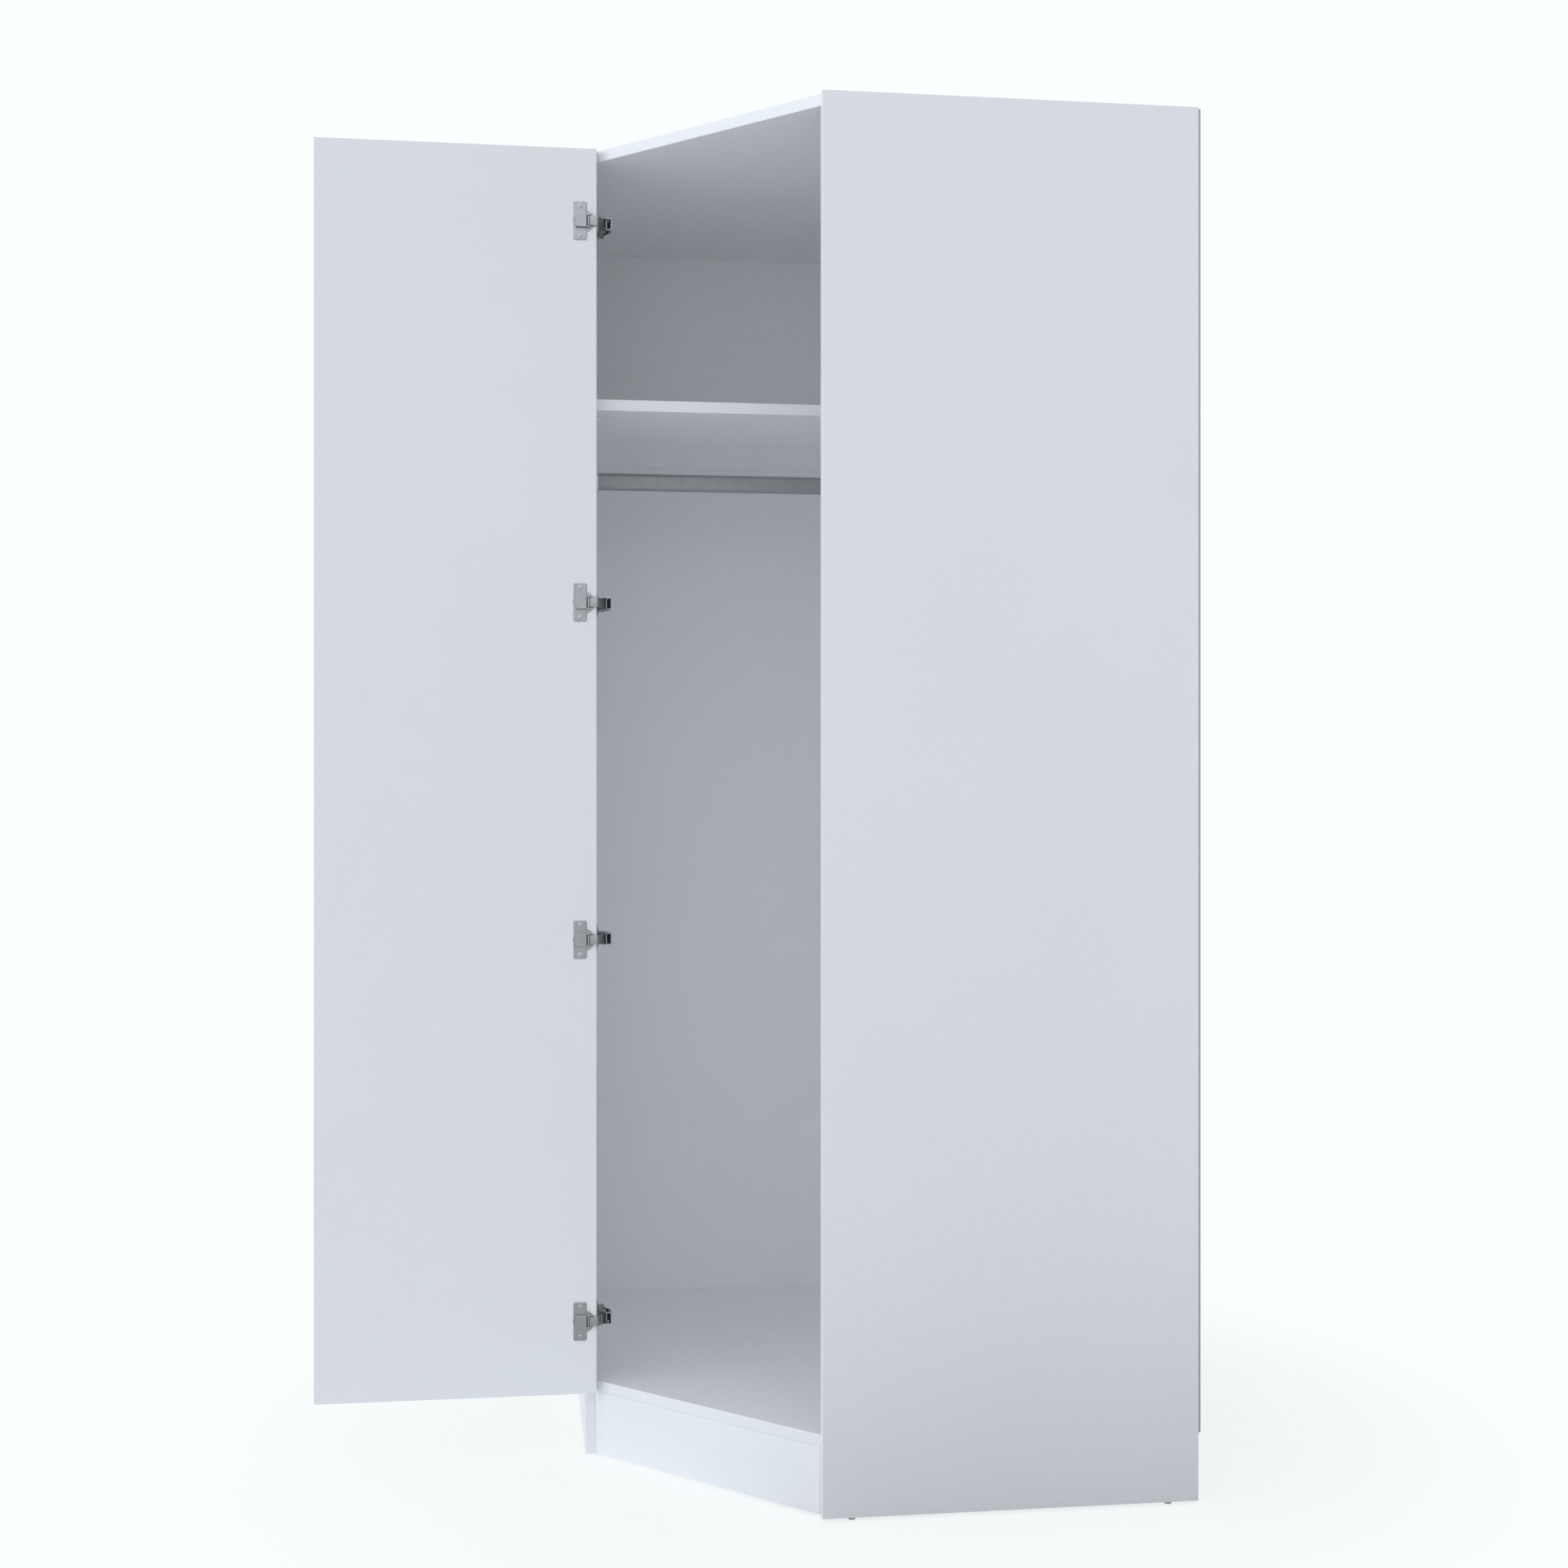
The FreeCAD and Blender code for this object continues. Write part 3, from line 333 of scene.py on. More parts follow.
def cross_screw(radius: float, head: float, shank: float, length: float) -> Surface:
    """A domed screw with a cross recess, its head's underside at height 0.

    The head is a square grid (s, t) mapped to a disc by x = s root(1 - t^2 / 2), y = t root(1 - s^2 / 2).
    Its height falls from the middle with the square of the radius, and sinks where s or t lies inside an arm
    of the cross. The grid's edge is then carried down the head's side, in to the shank and down to its end.

    Args:
        radius: radius of the head.
        head: height of the head.
        shank: radius of the shank.
        length: length of the shank.

    Returns:
        The closed screw, its head along the third axis.
    """
    half_lines = np.array([0.07, 0.15, 0.18, 0.36, 0.56, 0.6, 0.78, 0.92, 1])
    lines = np.concatenate([-half_lines[::-1], [0], half_lines])
    s, t = np.meshgrid(lines, lines, indexing="ij")
    x, y = s * np.sqrt(1 - t**2 / 2), t * np.sqrt(1 - s**2 / 2)
    arm_half, arm_reach = 0.165, 0.58
    fall, recess = 0.45, 0.7
    upright = (np.abs(s) < arm_half) & (np.abs(t) < arm_reach)
    level = (np.abs(t) < arm_half) & (np.abs(s) < arm_reach)
    height = head * (1 - fall * (x**2 + y**2) - recess * (upright | level))
    top = np.stack([x * radius, y * radius, height], axis=-1)
    count = len(lines)
    index = np.arange(count * count).reshape(count, count)
    quads = np.stack([index[:-1, :-1], index[1:, :-1], index[1:, 1:], index[:-1, 1:]], axis=-1).reshape(-1, 4)
    edge = np.concatenate([index[:-1, 0], index[-1, :-1], index[:0:-1, -1], index[0, :0:-1]])
    circle = top.reshape(-1, 3)[edge, :2] / radius
    below = [(radius, 0), (shank, 0), (shank, -length)]
    rings = [np.column_stack([circle * wide, np.full(len(edge), down)]) for wide, down in below]
    ring_index = count * count + np.arange(3 * len(edge)).reshape(3, -1)
    rows = np.concatenate([edge[None], ring_index])
    beside = np.roll(rows, -1, axis=1)
    sides = np.stack([rows[:-1], rows[1:], beside[1:], beside[:-1]], axis=-1).reshape(-1, 4)
    points = np.concatenate([top.reshape(-1, 3), *rings])
    return Surface(points, np.concatenate([quads, sides]), (ring_index[-1, ::-1],)).outward()


def linked(name: str, data: bpy.types.ID) -> bpy.types.Object:
    """Puts a mesh, lamp or camera into the scene.

    Args:
        name: the object's name.
        data: what it shows.

    Returns:
        The new object, at the origin.
    """
    made = bpy.data.objects.new(name, data)
    bpy.context.scene.collection.objects.link(made)
    return made


def piece(name: str, surface: Surface, material: bpy.types.Material) -> bpy.types.Object:
    """Makes a surface a Blender object, at the origin with its place in its mesh.

    Args:
        name: the piece's name.
        surface: its surface, in millimetres in the frame's axes.
        material: its finish.

    Returns:
        The new object.
    """
    mesh = bpy.data.meshes.new(name)
    faces = surface.quads.tolist() + [cap.tolist() for cap in surface.caps]
    mesh.from_pydata((surface.points * MM).tolist(), [], faces)
    mesh.materials.append(material)
    mesh.shade_smooth()
    mesh.set_sharp_from_angle(angle=math.radians(SMOOTH_ANGLE))
    return linked(name, mesh)


# Finishes


class Nodes:
    """A node tree under construction, with short words for what finishes, floor and background share."""

    def __init__(self, owner: bpy.types.Material | bpy.types.World) -> None:
        """Starts with an empty tree.

        Args:
            owner: the material or world that has the tree.
        """
        owner.use_nodes = True
        owner.node_tree.nodes.clear()
        self.nodes, self.links = owner.node_tree.nodes, owner.node_tree.links

    def add(self, kind: str, **constants: float | tuple[float, ...]) -> bpy.types.Node:
        """Adds a node.

        Args:
            kind: its type.
            constants: the values of its sockets that are the same all over.

        Returns:
            The node.
        """
        node = self.nodes.new("ShaderNode" + kind)
        for socket, value in constants.items():
            node.inputs[socket].default_value = value
        return node

    def between(self, value: Socket, low: float, high: float, span: Pair = NOISE_SPAN,
                curve: Curve = Curve.STRAIGHT) -> Socket:
        """Turns a value that varies into a number between two.

        Args:
            value: the value.
            low: the number at the low end.
            high: the number at the high end.
            span: the values where the change begins and ends.
            curve: how the change runs.

        Returns:
            The number.
        """
        sockets = ("From Min", "From Max", "To Min", "To Max")
        scale = self.add("MapRange", **dict(zip(sockets, (*span, low, high))))
        scale.interpolation_type = curve.value
        self.links.new(value, scale.inputs["Value"])
        return scale.outputs["Result"]

    def math(self, operation: str, first: Socket, second: Socket | float) -> Socket:
        """Works out a value that varies.

        Args:
            operation: what is done.
            first: the first value.
            second: the second value, or a number.

        Returns:
            The result.
        """
        node = self.add("Math")
        node.operation = operation
        self.links.new(first, node.inputs[0])
        if isinstance(second, float):
            node.inputs[1].default_value = second
        else:
            self.links.new(second, node.inputs[1])
        return node.outputs["Value"]

    def seen(self) -> Socket:
        """Tells rays that show a surface from those that only carry light.

        Returns:
            1 for camera, mirror and see-through rays, otherwise 0.
        """
        path = self.add("LightPath")
        value = path.outputs["Is Camera Ray"]
        for name in ("Is Glossy Ray", "Is Transmission Ray"):
            value = self.math("MAXIMUM", value, path.outputs[name])
        return value


class Paint(Nodes):
    """A material under construction, whose one shader takes its colour, gloss and relief."""

    def __init__(self, name: str) -> None:
        """Starts a material with one shader.

        Args:
            name: the material's name.
        """
        self.material = bpy.data.materials.new(name)
        super().__init__(self.material)
        self.shader = self.add("BsdfPrincipled")
        self.links.new(self.shader.outputs["BSDF"], self.add("OutputMaterial").inputs["Surface"])
        self.coordinates = self.add("TexCoord").outputs["Object"]

    def noise(self, size: Point, detail: float, rough: float = 0.55) -> Socket:
        """A noise of a given size in the object's own coordinates.

        Args:
            size: the pattern's size along each axis, in millimetres.
            detail: how many finer layers it has.
            rough: how strong the finer layers are.

        Returns:
            The noise's value.
        """
        mapping = self.add("Mapping", Scale=tuple(1 / (side * MM) for side in size))
        self.links.new(self.coordinates, mapping.inputs["Vector"])
        noise = self.add("TexNoise", Scale=1, Detail=detail, Roughness=rough)
        self.links.new(mapping.outputs["Vector"], noise.inputs["Vector"])
        return noise.outputs["Fac"]

    def ramp(self, value: Socket, low: Colour, high: Colour, span: Pair = NOISE_SPAN) -> Socket:
        """Turns a value into a colour between two.

        Args:
            value: the value that varies over the surface.
            low: the colour at the low end.
            high: the colour at the high end.
            span: the values where the change begins and ends.

        Returns:
            The colour.
        """
        ramp = self.add("ValToRGB")
        for stop, place, colour in zip(ramp.color_ramp.elements, span, (low, high)):
            stop.position = place
            stop.color = (*colour, 1)
        self.links.new(value, ramp.inputs["Fac"])
        return ramp.outputs["Color"]

    def mixed(self, factor: Socket, first: Socket, second: Socket) -> Socket:
        """Mixes two colours.

        Args:
            factor: the second colour's share, which varies over the surface.
            first: the first colour.
            second: the second colour.

        Returns:
            The mixed colour.
        """
        mix = self.add("Mix")
        mix.data_type = "RGBA"
        sockets = [socket for socket in mix.inputs if socket.type == "RGBA"]
        self.links.new(factor, mix.inputs["Factor"])
        self.links.new(first, sockets[0])
        self.links.new(second, sockets[1])
        return next(socket for socket in mix.outputs if socket.type == "RGBA")

    def bump(self, value: Socket, depth: float, strength: float = 1) -> Socket:
        """Raises the surface by a value.

        Args:
            value: the height, from 0 to 1.
            depth: the height of 1, in millimetres.
            strength: how much of it shows.

        Returns:
            The raised surface's normal.
        """
        bump = self.add("Bump", Distance=depth * MM, Strength=strength)
        self.links.new(value, bump.inputs["Height"])
        return bump.outputs["Normal"]

    def finished(self, colour: Socket, gloss: Socket, normal: Socket) -> bpy.types.Material:
        """Links what varies over the surface to the shader.

        Args:
            colour: the colour.
            gloss: the roughness.
            normal: the raised surface's normal.

        Returns:
            The material.
        """
        for value, socket in ((colour, "Base Color"), (gloss, "Roughness"), (normal, "Normal")):
            self.links.new(value, self.shader.inputs[socket])
        return self.material


@dataclass(frozen=True)
class Grained:
    """A finish with faint clouds of tone, and a fine grain in its gloss and its relief."""

    slot: Slot
    tone: Colour
    shade: Colour
    gloss: Pair
    grain: Point
    relief: float
    clouds: float
    cloud_detail: float = 2
    grain_detail: float = 2
    grain_rough: float = 0.55
    metallic: float = 0
    specular: float = 0.5

    def material(self) -> bpy.types.Material:
        """Builds the finish.

        Returns:
            Its material.
        """
        paint = Paint(self.slot.value)
        paint.shader.inputs["Metallic"].default_value = self.metallic
        paint.shader.inputs["Specular IOR Level"].default_value = self.specular
        tone = paint.ramp(paint.noise((self.clouds,) * 3, self.cloud_detail), self.shade, self.tone)
        grain = paint.noise(self.grain, self.grain_detail, self.grain_rough)
        return paint.finished(tone, paint.between(grain, *self.gloss), paint.bump(grain, self.relief))


@dataclass(frozen=True)
class Coating(Grained):
    """White resin-coated board or tape, with a fine pearl."""

    gloss: Pair = (0.36, 0.46)
    grain: Point = (1.3, 1.3, 1.3)
    relief: float = 0.012
    clouds: float = 420
    specular: float = 0.42


@dataclass(frozen=True)
class Metal(Grained):
    """Plated or satin metal with fine drawn lines, metallic by the share that its lacquer leaves bare."""

    grain: Point = (3, 3, 3)
    relief: float = 0.004
    clouds: float = 14
    cloud_detail: float = 3
    grain_detail: float = 4
    grain_rough: float = 0.65
    metallic: float = 1


@dataclass(frozen=True)
class Plastic(Grained):
    """Moulded plastic with a spark-eroded grain."""

    grain: Point = (0.5, 0.5, 0.5)
    relief: float = 0.02
    clouds: float = 25


@dataclass(frozen=True)
class Hardboard:
    """Thin pressed board: lacquered white towards the clothes, bare matted fibres behind and at its edges."""

    slot: Slot
    lacquer: Colour
    lacquer_shade: Colour
    fibre: Colour
    fibre_dark: Colour
    clouds: Point = (300, 300, 300)
    threads: Point = (9, 9, 1.1)
    gloss: Pair = (0.45, 0.62)
    relief: float = 0.05
    wall_reach: float = 10
    turned_away: float = -0.5

    def inside(self, paint: Paint) -> Socket:
        """Tells the lacquered faces, which lie close to a wall and look straight away from it.

        Args:
            paint: the material under construction.

        Returns:
            1 on the lacquered faces, otherwise 0.
        """
        place, normal = paint.add("SeparateXYZ"), paint.add("SeparateXYZ")
        paint.links.new(paint.coordinates, place.inputs["Vector"])
        paint.links.new(paint.add("TexCoord").outputs["Normal"], normal.inputs["Vector"])
        sides = []
        for axis in "XY":
            near = paint.math("GREATER_THAN", place.outputs[axis], -self.wall_reach * MM)
            away = paint.math("LESS_THAN", normal.outputs[axis], self.turned_away)
            sides.append(paint.math("MULTIPLY", near, away))
        return paint.math("MAXIMUM", *sides)

    def material(self) -> bpy.types.Material:
        """Builds the finish.

        Returns:
            Its material.
        """
        paint = Paint(self.slot.value)
        threads = paint.noise(self.threads, detail=5, rough=0.7)
        white = paint.ramp(paint.noise(self.clouds, detail=2), self.lacquer_shade, self.lacquer)
        bare = paint.ramp(threads, self.fibre_dark, self.fibre)
        tone = paint.mixed(self.inside(paint), bare, white)
        normal = paint.bump(threads, self.relief, strength=0.5)
        return paint.finished(tone, paint.between(threads, *self.gloss), normal)


@dataclass(frozen=True)
class BareWood:
    """Planed wood with grain lines and fine pores along one axis."""

    slot: Slot
    early: Colour
    late: Colour
    rings: Point = (60, 5, 5)
    ring_span: Pair = (0.35, 0.6)
    pores: Point = (6, 0.5, 0.5)
    gloss: Pair = (0.55, 0.72)
    relief: float = 0.06

    def material(self) -> bpy.types.Material:
        """Builds the finish.

        Returns:
            Its material.
        """
        paint = Paint(self.slot.value)
        rings = paint.noise(self.rings, detail=4, rough=0.6)
        pores = paint.noise(self.pores, detail=3)
        tone = paint.ramp(rings, self.late, self.early, self.ring_span)
        return paint.finished(tone, paint.between(pores, *self.gloss), paint.bump(pores, self.relief))


class Finishes:
    """All the wardrobe's materials, by slot."""

    KINDS = (
        Coating(Slot.MELAMINE, (0.874, 0.878, 0.882), (0.86, 0.864, 0.868)),
        Coating(Slot.BAND, (0.86, 0.864, 0.868), (0.846, 0.85, 0.854), (0.28, 0.36),
                (0.7, 0.7, 0.7), 0.006),
        Hardboard(Slot.HARDBOARD, (0.864, 0.868, 0.872), (0.85, 0.854, 0.858), (0.50, 0.51, 0.515),
                  (0.43, 0.44, 0.445)),
        BareWood(Slot.WOOD, (0.74, 0.60, 0.42), (0.60, 0.45, 0.28)),
        Metal(Slot.RAIL, (0.37, 0.38, 0.39), (0.34, 0.35, 0.36), (0.38, 0.5), (40, 0.4, 0.4), 0.006,
              metallic=0.4),
        Plastic(Slot.WHITE, (0.80, 0.81, 0.82), (0.77, 0.78, 0.79), (0.3, 0.4)),
        Plastic(Slot.BLACK, (0.045, 0.045, 0.048), (0.035, 0.035, 0.037), (0.42, 0.55)),
        # Nickel's tone sits well below real plated nickel, so that its mirror of the white background comes
        # out darker: painted shade in the reflections of the hinges and glides, standing in for a dimmer room
        # round them.
        Metal(Slot.NICKEL, (0.30, 0.31, 0.322), (0.265, 0.275, 0.286), (0.3, 0.42), (2, 2, 8)),
        Metal(Slot.ZINC, (0.38, 0.40, 0.425), (0.33, 0.345, 0.365), (0.24, 0.36)),
    )

    def __init__(self) -> None:
        """Builds every material once."""
        self.materials = {kind.slot: kind.material() for kind in self.KINDS}

    def dress(self, node: str, slot: Slot) -> None:
        """Gives a CAD node the finish of a slot.

        Args:
            node: the CAD node's name.
            slot: the slot.
        """
        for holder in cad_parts[node].material_slots:
            holder.material = self.materials[slot]
        LOG.info("%s keeps its solid, in %s", node, slot.value)

    def make(self, name: str, surface: Surface, slot: Slot, body: Body, *nodes: str) -> None:
        """Makes a piece that rides on a body and stands for CAD nodes.

        Args:
            name: the piece's name.
            surface: its surface.
            slot: the slot of its finish.
            body: the body that it rides on.
            nodes: the CAD nodes that it stands for, none for trim that only the scene has.
        """
        made = piece(name, surface, self.materials[slot])
        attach(made, body.value)
        if nodes:
            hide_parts(*nodes)
        LOG.info("%s stands for %s on %s", name, ", ".join(nodes) or "no solid", body.value)


# Sub-assemblies


@dataclass(frozen=True)
class Plan:
    """Places and sizes that the sub-assemblies share."""

    inner_face: float = -892
    front_edge: float = -576
    upright_face: float = -22
    outer_face: float = -910
    rear_face: float = -4
    bottom_under: float = 105
    board: float = 18
    front_run: float = 316 * math.sqrt(2)
    plinth_gap: float = 2.5
    door_edge: float = -892.5
    door_inside: float = -595
    hinge_heights: tuple[float, ...] = (1982.5, 1372.5, 833.5, 223.5)
    rail_line: float = -290
    rail_height: float = 1612
    flange: float = 3
    leg_inset: float = 75
    leg_flange: float = 4

    def front(self, along: float, behind: float, height: float) -> np.ndarray:
        """A point along the angled front from its left end, and behind it towards the room corner."""
        return np.array([self.inner_face, self.front_edge, height]) + AHEAD * along + BEHIND * behind


@dataclass(frozen=True)
class Assembly:
    """What every sub-assembly knows: the finishes and the shared places."""

    finishes: Finishes
    plan: Plan


@dataclass(frozen=True)
class Boards(Assembly):
    """The coated boards, back panels and blocks, which keep their solids."""

    coated: tuple[str, ...] = ("right_side_panel", "left_side_panel", "top_panel", "bottom_panel",
                               "plinth_board", "hat_shelf", "inner_upright", "door_panel")
    backs: tuple[str, ...] = ("back_panel_left", "back_panel_right")
    blocks: tuple[str, ...] = ("plinth_block_left", "plinth_block_right", "dowels")

    def build(self) -> None:
        """Dresses the boards."""
        for nodes, slot in ((self.coated, Slot.MELAMINE), (self.backs, Slot.HARDBOARD),
                            (self.blocks, Slot.WOOD)):
            for node in nodes:
                self.finishes.dress(node, slot)


@dataclass(frozen=True)
class EdgeBands(Assembly):
    """Glued tape on the front edges, with its two outer corners scraped round."""

    scraped: float = 0.8
    sharp: float = 0.02
    thick: float = 1
    end_tape: float = 2
    straight: tuple[tuple[str, Facing, Body], ...] = (
        ("right_edge_band", Facing.LEFT, Body.CARCASS),
        ("left_edge_band", Facing.FRONT, Body.CARCASS),
        ("shelf_edge_band", Facing.FRONT, Body.CARCASS),
        ("door_hinge_band", Facing.RIGHT, Body.DOOR),
        ("door_free_band", Facing.LEFT, Body.DOOR),
        ("door_lower_band", Facing.DOWN, Body.DOOR),
        ("door_upper_band", Facing.UP, Body.DOOR),
    )
    angled: tuple[str, ...] = ("top_edge_band", "bottom_edge_band")

    def strip(self, origin: np.ndarray, run: np.ndarray, across: np.ndarray, out: np.ndarray) -> Surface:
        """A strip of tape: a flat section with two round corners, carried along a straight run.

        Args:
            origin: a corner of the strip's glued face.
            run: from one end to the other.
            across: over the board's thickness.
            out: through the tape's thickness.

        Returns:
            The closed strip.
        """
        high = (np.linalg.norm(across), np.linalg.norm(out))
        section = rectangle((0, 0), high, [self.sharp, self.sharp, self.scraped, self.scraped])
        flat = section[:, :1] * unit(across) + section[:, 1:] * unit(out)
        ends = np.array([0, 1])[:, None, None]
        return loft(origin + flat[None] + ends * run)

    def box(self, node: str) -> tuple[np.ndarray, np.ndarray]:
        """The lowest corner and the size of a CAD node, in millimetres."""
        low, high = (np.array(corner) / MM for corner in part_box(node))
        return low, high - low

    def build(self) -> None:
        """Builds all the bands, and the tape that closes the slit at the plinth's right end."""
        tapes = []
        for node, facing, body in self.straight:
            low, size = self.box(node)
            out = np.array(facing.value) * size
            run = np.eye(3)[np.argmax(size)] * size
            tapes.append((node, body, (low - np.minimum(out, 0), run, size - run - np.abs(out), out)))
        for node in self.angled:
            low, size = self.box(node)
            origin = self.plan.front(0, self.thick, low[2])
            sides = (origin, AHEAD * self.plan.front_run, UP * size, -BEHIND * self.thick)
            tapes.append((node, Body.CARCASS, sides))
        for node, body, sides in tapes:
            self.finishes.make(node + "_tape", self.strip(*sides), Slot.BAND, body, node)
        low, size = self.box("plinth_board")
        origin = self.plan.front(self.plan.front_run - self.plan.plinth_gap, 0, low[2])
        tape = self.strip(origin, UP * size, BEHIND * self.plan.board, AHEAD * self.end_tape)
        self.finishes.make("plinth_end_tape", tape, Slot.BAND, Body.CARCASS)


@dataclass(frozen=True)
class Screws(Assembly):
    """Screws with a cross recess, and the other fasteners, which keep their solids."""

    head_radius: float = 3.5
    head: float = 1.4
    shank: float = 1.75
    grip: float = 14
    rail_half: float = 23
    leg_circle: float = 24
    block_inset: float = 40
    block: float = 80
    block_side: float = 30
    block_screw: float = 42

    def make(self, node: str, places: list[tuple[Vector, Vector]], length: float,
             body: Body = Body.CARCASS) -> None:
        """Makes the equal screws that stand for one CAD node.

        Args:
            node: the CAD node.
            places: the underside of each head, and the way that the head looks.
            length: from the head's underside to the screw's end.
            body: the body that they ride on.
        """
        screw = cross_screw(self.head_radius, self.head, self.shank, length)
        group = joined([screw.aimed(origin, out) for origin, out in places])
        self.finishes.make(node + "_crossed", group, Slot.ZINC, body, node)

    def build(self) -> None:
        """Builds the rail, leg and plinth screws and dresses the rest."""
        plan, rail, leg, plinth = self.plan, [], [], []
        reach = self.leg_circle / math.sqrt(2)
        for side in (-1, 1):
            height = plan.rail_height + side * self.rail_half
            rail.append(((plan.inner_face + plan.flange, plan.rail_line, height), (1, 0, 0)))
            rail.append(((plan.upright_face - plan.flange, plan.rail_line, height), (-1, 0, 0)))
            for other in (-1, 1):
                across, back = side * reach - plan.leg_inset, other * reach - plan.leg_inset
                leg.append(((across, back, plan.bottom_under - plan.leg_flange), -UP))
        inset = plan.plinth_gap + self.block_inset
        deep, half, third = self.block_side, self.block_side / 2, self.block / 3
        for start in (inset, plan.front_run - inset - self.block):
            head = plan.front(start + third, plan.board + deep, plan.bottom_under - half)
            plinth.append((head, BEHIND))
            head = plan.front(start + 2 * third, plan.board + half, plan.bottom_under - deep)
            plinth.append((head, -UP))
        self.make("rail_screws", rail, self.grip + plan.flange)
        self.make("leg_screws", leg, self.grip + plan.leg_flange)
        self.make("plinth_screws", plinth, self.block_screw)
        for node in ("cam_bolts", "cam_locks", "back_nails"):
            self.finishes.dress(node, Slot.ZINC)


@dataclass(frozen=True)
class Hinges(Assembly):
    """Four cup hinges: the pressed cup on the door, the cranked link, the arm and the mounting plate."""

    cup_axis: float = 20.5
    cup_radius: float = 17.45
    cup_wall: float = 1.2
    cup_depth: float = 11.5
    cup_fillet: float = 1.5
    cup_chamfer: float = 1.6
    cup_lip: float = 0.3
    plate: Pair = (16, 37)
    plate_half: float = 30.5
    plate_thick: float = 1.4
    plate_corner: float = 3
    plate_rim: float = 0.9
    moon_thick: float = 1.2
    moon_rim: float = 0.35
    screw_line: float = 26.5
    screw_half: float = 24
    cover: Pair = (15.9, 34.2)
    cover_half: float = 10.9
    cover_rise: float = 6
    cover_corners: Pair = (1.4, 4)
    cover_rim: float = 0.95
    cheek_near: float = 9.1
    cheek_low: float = 8.15
    cheek_rise: float = 5
    cheek_overlap: float = 1.5
    cheek_corner: float = 1.3
    cheek_rim: float = 0.8
    link_from_edge: float = 13
    link_rise: float = 2.75
    link_crank: float = 14.4
    link_length: float = 35.5
    link_angle: float = 35.8
    link_half: float = 7.5
    link_strap: float = 2.5
    link_eye: float = 2.6
    link_bend: float = 4
    link_rim: float = 0.4
    plate_screw: Point = (1.6, 37, 16)
    arm_screw: Pair = (13.8, 43)
    soft_edge: float = 0.25
    soft_angle: float = 35
    flat_angle: float = 1
    weld_reach: float = 0.002

    def cup(self) -> Surface:
        """The cup: a turned bowl, a pressed screw plate, two pieces of round flange, a cover and two cheeks.

        Returns:
            The cup in its own axes: into the leaf from the door's edge, up, and off the door's face.
        """
        radius, wall, depth = self.cup_radius, self.cup_wall, self.cup_depth
        floor, inner = wall - depth, radius - wall
        pole, overlap = 0.4, 0.4
        profile = [(pole, floor), (inner - self.cup_fillet, floor), (inner, floor + self.cup_fillet),
                   (inner, -self.cup_lip), (inner + self.cup_lip, 0), (radius, 0),
                   (radius, self.cup_chamfer - depth), (radius - self.cup_chamfer, -depth), (pole, -depth)]
        near, far = self.plate
        screw_plate = rectangle((near, -self.plate_half), (far, self.plate_half), self.plate_corner)
        parts = [turned(np.array(profile)).placed((self.cup_axis, 0, 0), np.eye(3)),
                 slab(screw_plate, rim(self.plate_thick, self.plate_rim))]
        under = near + overlap
        first, last = math.asin(self.cheek_low / radius), math.acos((self.cup_axis - under) / radius)
        arc = np.linspace(first, last, 12)
        near, far = self.cover
        for side in (-1, 1):
            curve = np.stack([self.cup_axis - radius * np.cos(arc), side * radius * np.sin(arc)], axis=1)
            moon = np.concatenate([curve, [[under, side * self.cheek_low]]])
            parts.append(slab(moon, rim(self.moon_thick, self.moon_rim)))
            low, high = sorted((side * self.cheek_low, side * self.cover_half))
            cheek = rectangle((self.cheek_near, low), (near + self.cheek_overlap, high), self.cheek_corner)
            parts.append(slab(cheek, rim(self.cheek_rise, self.cheek_rim)))
        radii = [*self.cover_corners, *self.cover_corners[::-1]]
        cover = rectangle((near, -self.cover_half), (far, self.cover_half), radii)
        return joined([*parts, slab(cover, rim(self.cover_rise, self.cover_rim))])

    def link(self) -> Surface:
        """The cranked link: a strap whose direction turns evenly through one bend, with an eye at each end.

        Its half width is the larger of the strap's and the half chord of the eye's circle at that distance
        from the eye's middle. The plan outline runs up one side and back down the other.

        Returns:
            The link in its own axes: along the folded door, towards the room corner, and up, from its pivot.
        """
        angle = math.radians(self.link_angle)
        tail = self.link_length * np.array([math.cos(angle), math.sin(angle)]) - [self.link_crank, 0]
        turn = math.atan2(tail[1], tail[0])
        tangent = self.link_bend * math.tan(turn / 2)
        first, arc = self.link_crank - tangent, self.link_bend * turn
        whole = first + arc + np.hypot(*tail) - tangent
        spread = self.link_eye * np.sin(np.linspace(-np.pi / 2, np.pi / 2, 25))
        strap = np.linspace(self.link_eye, whole - self.link_eye, 72)[1:-1]
        run = np.concatenate([spread, strap, spread + whole])
        heading = turn * np.clip((run - first) / arc, 0, 1)
        step = np.diff(run, prepend=run[0])
        mid_heading = (heading + np.concatenate([heading[:1], heading[:-1]])) / 2
        steps = step[:, None] * np.stack([np.cos(mid_heading), np.sin(mid_heading)], axis=1)
        centre = np.cumsum(steps, axis=0) + [run[0], 0]
        from_eye = np.minimum(np.abs(run), np.abs(run - whole))
        half = np.sqrt(np.clip(self.link_eye**2 - from_eye**2, 0, None))
        inner = (run > 0) & (run < whole)
        half = np.where(inner, np.maximum(half, self.link_strap / 2), half)[:, None]
        normal = np.stack([-np.sin(heading), np.cos(heading)], axis=1)
        outline = np.concatenate([centre + normal * half, (centre - normal * half)[-2:0:-1]])
        link = slab(outline, rim(2 * self.link_half, self.link_rim, self.link_rim))
        return link.placed((0, 0, -self.link_half), np.eye(3))

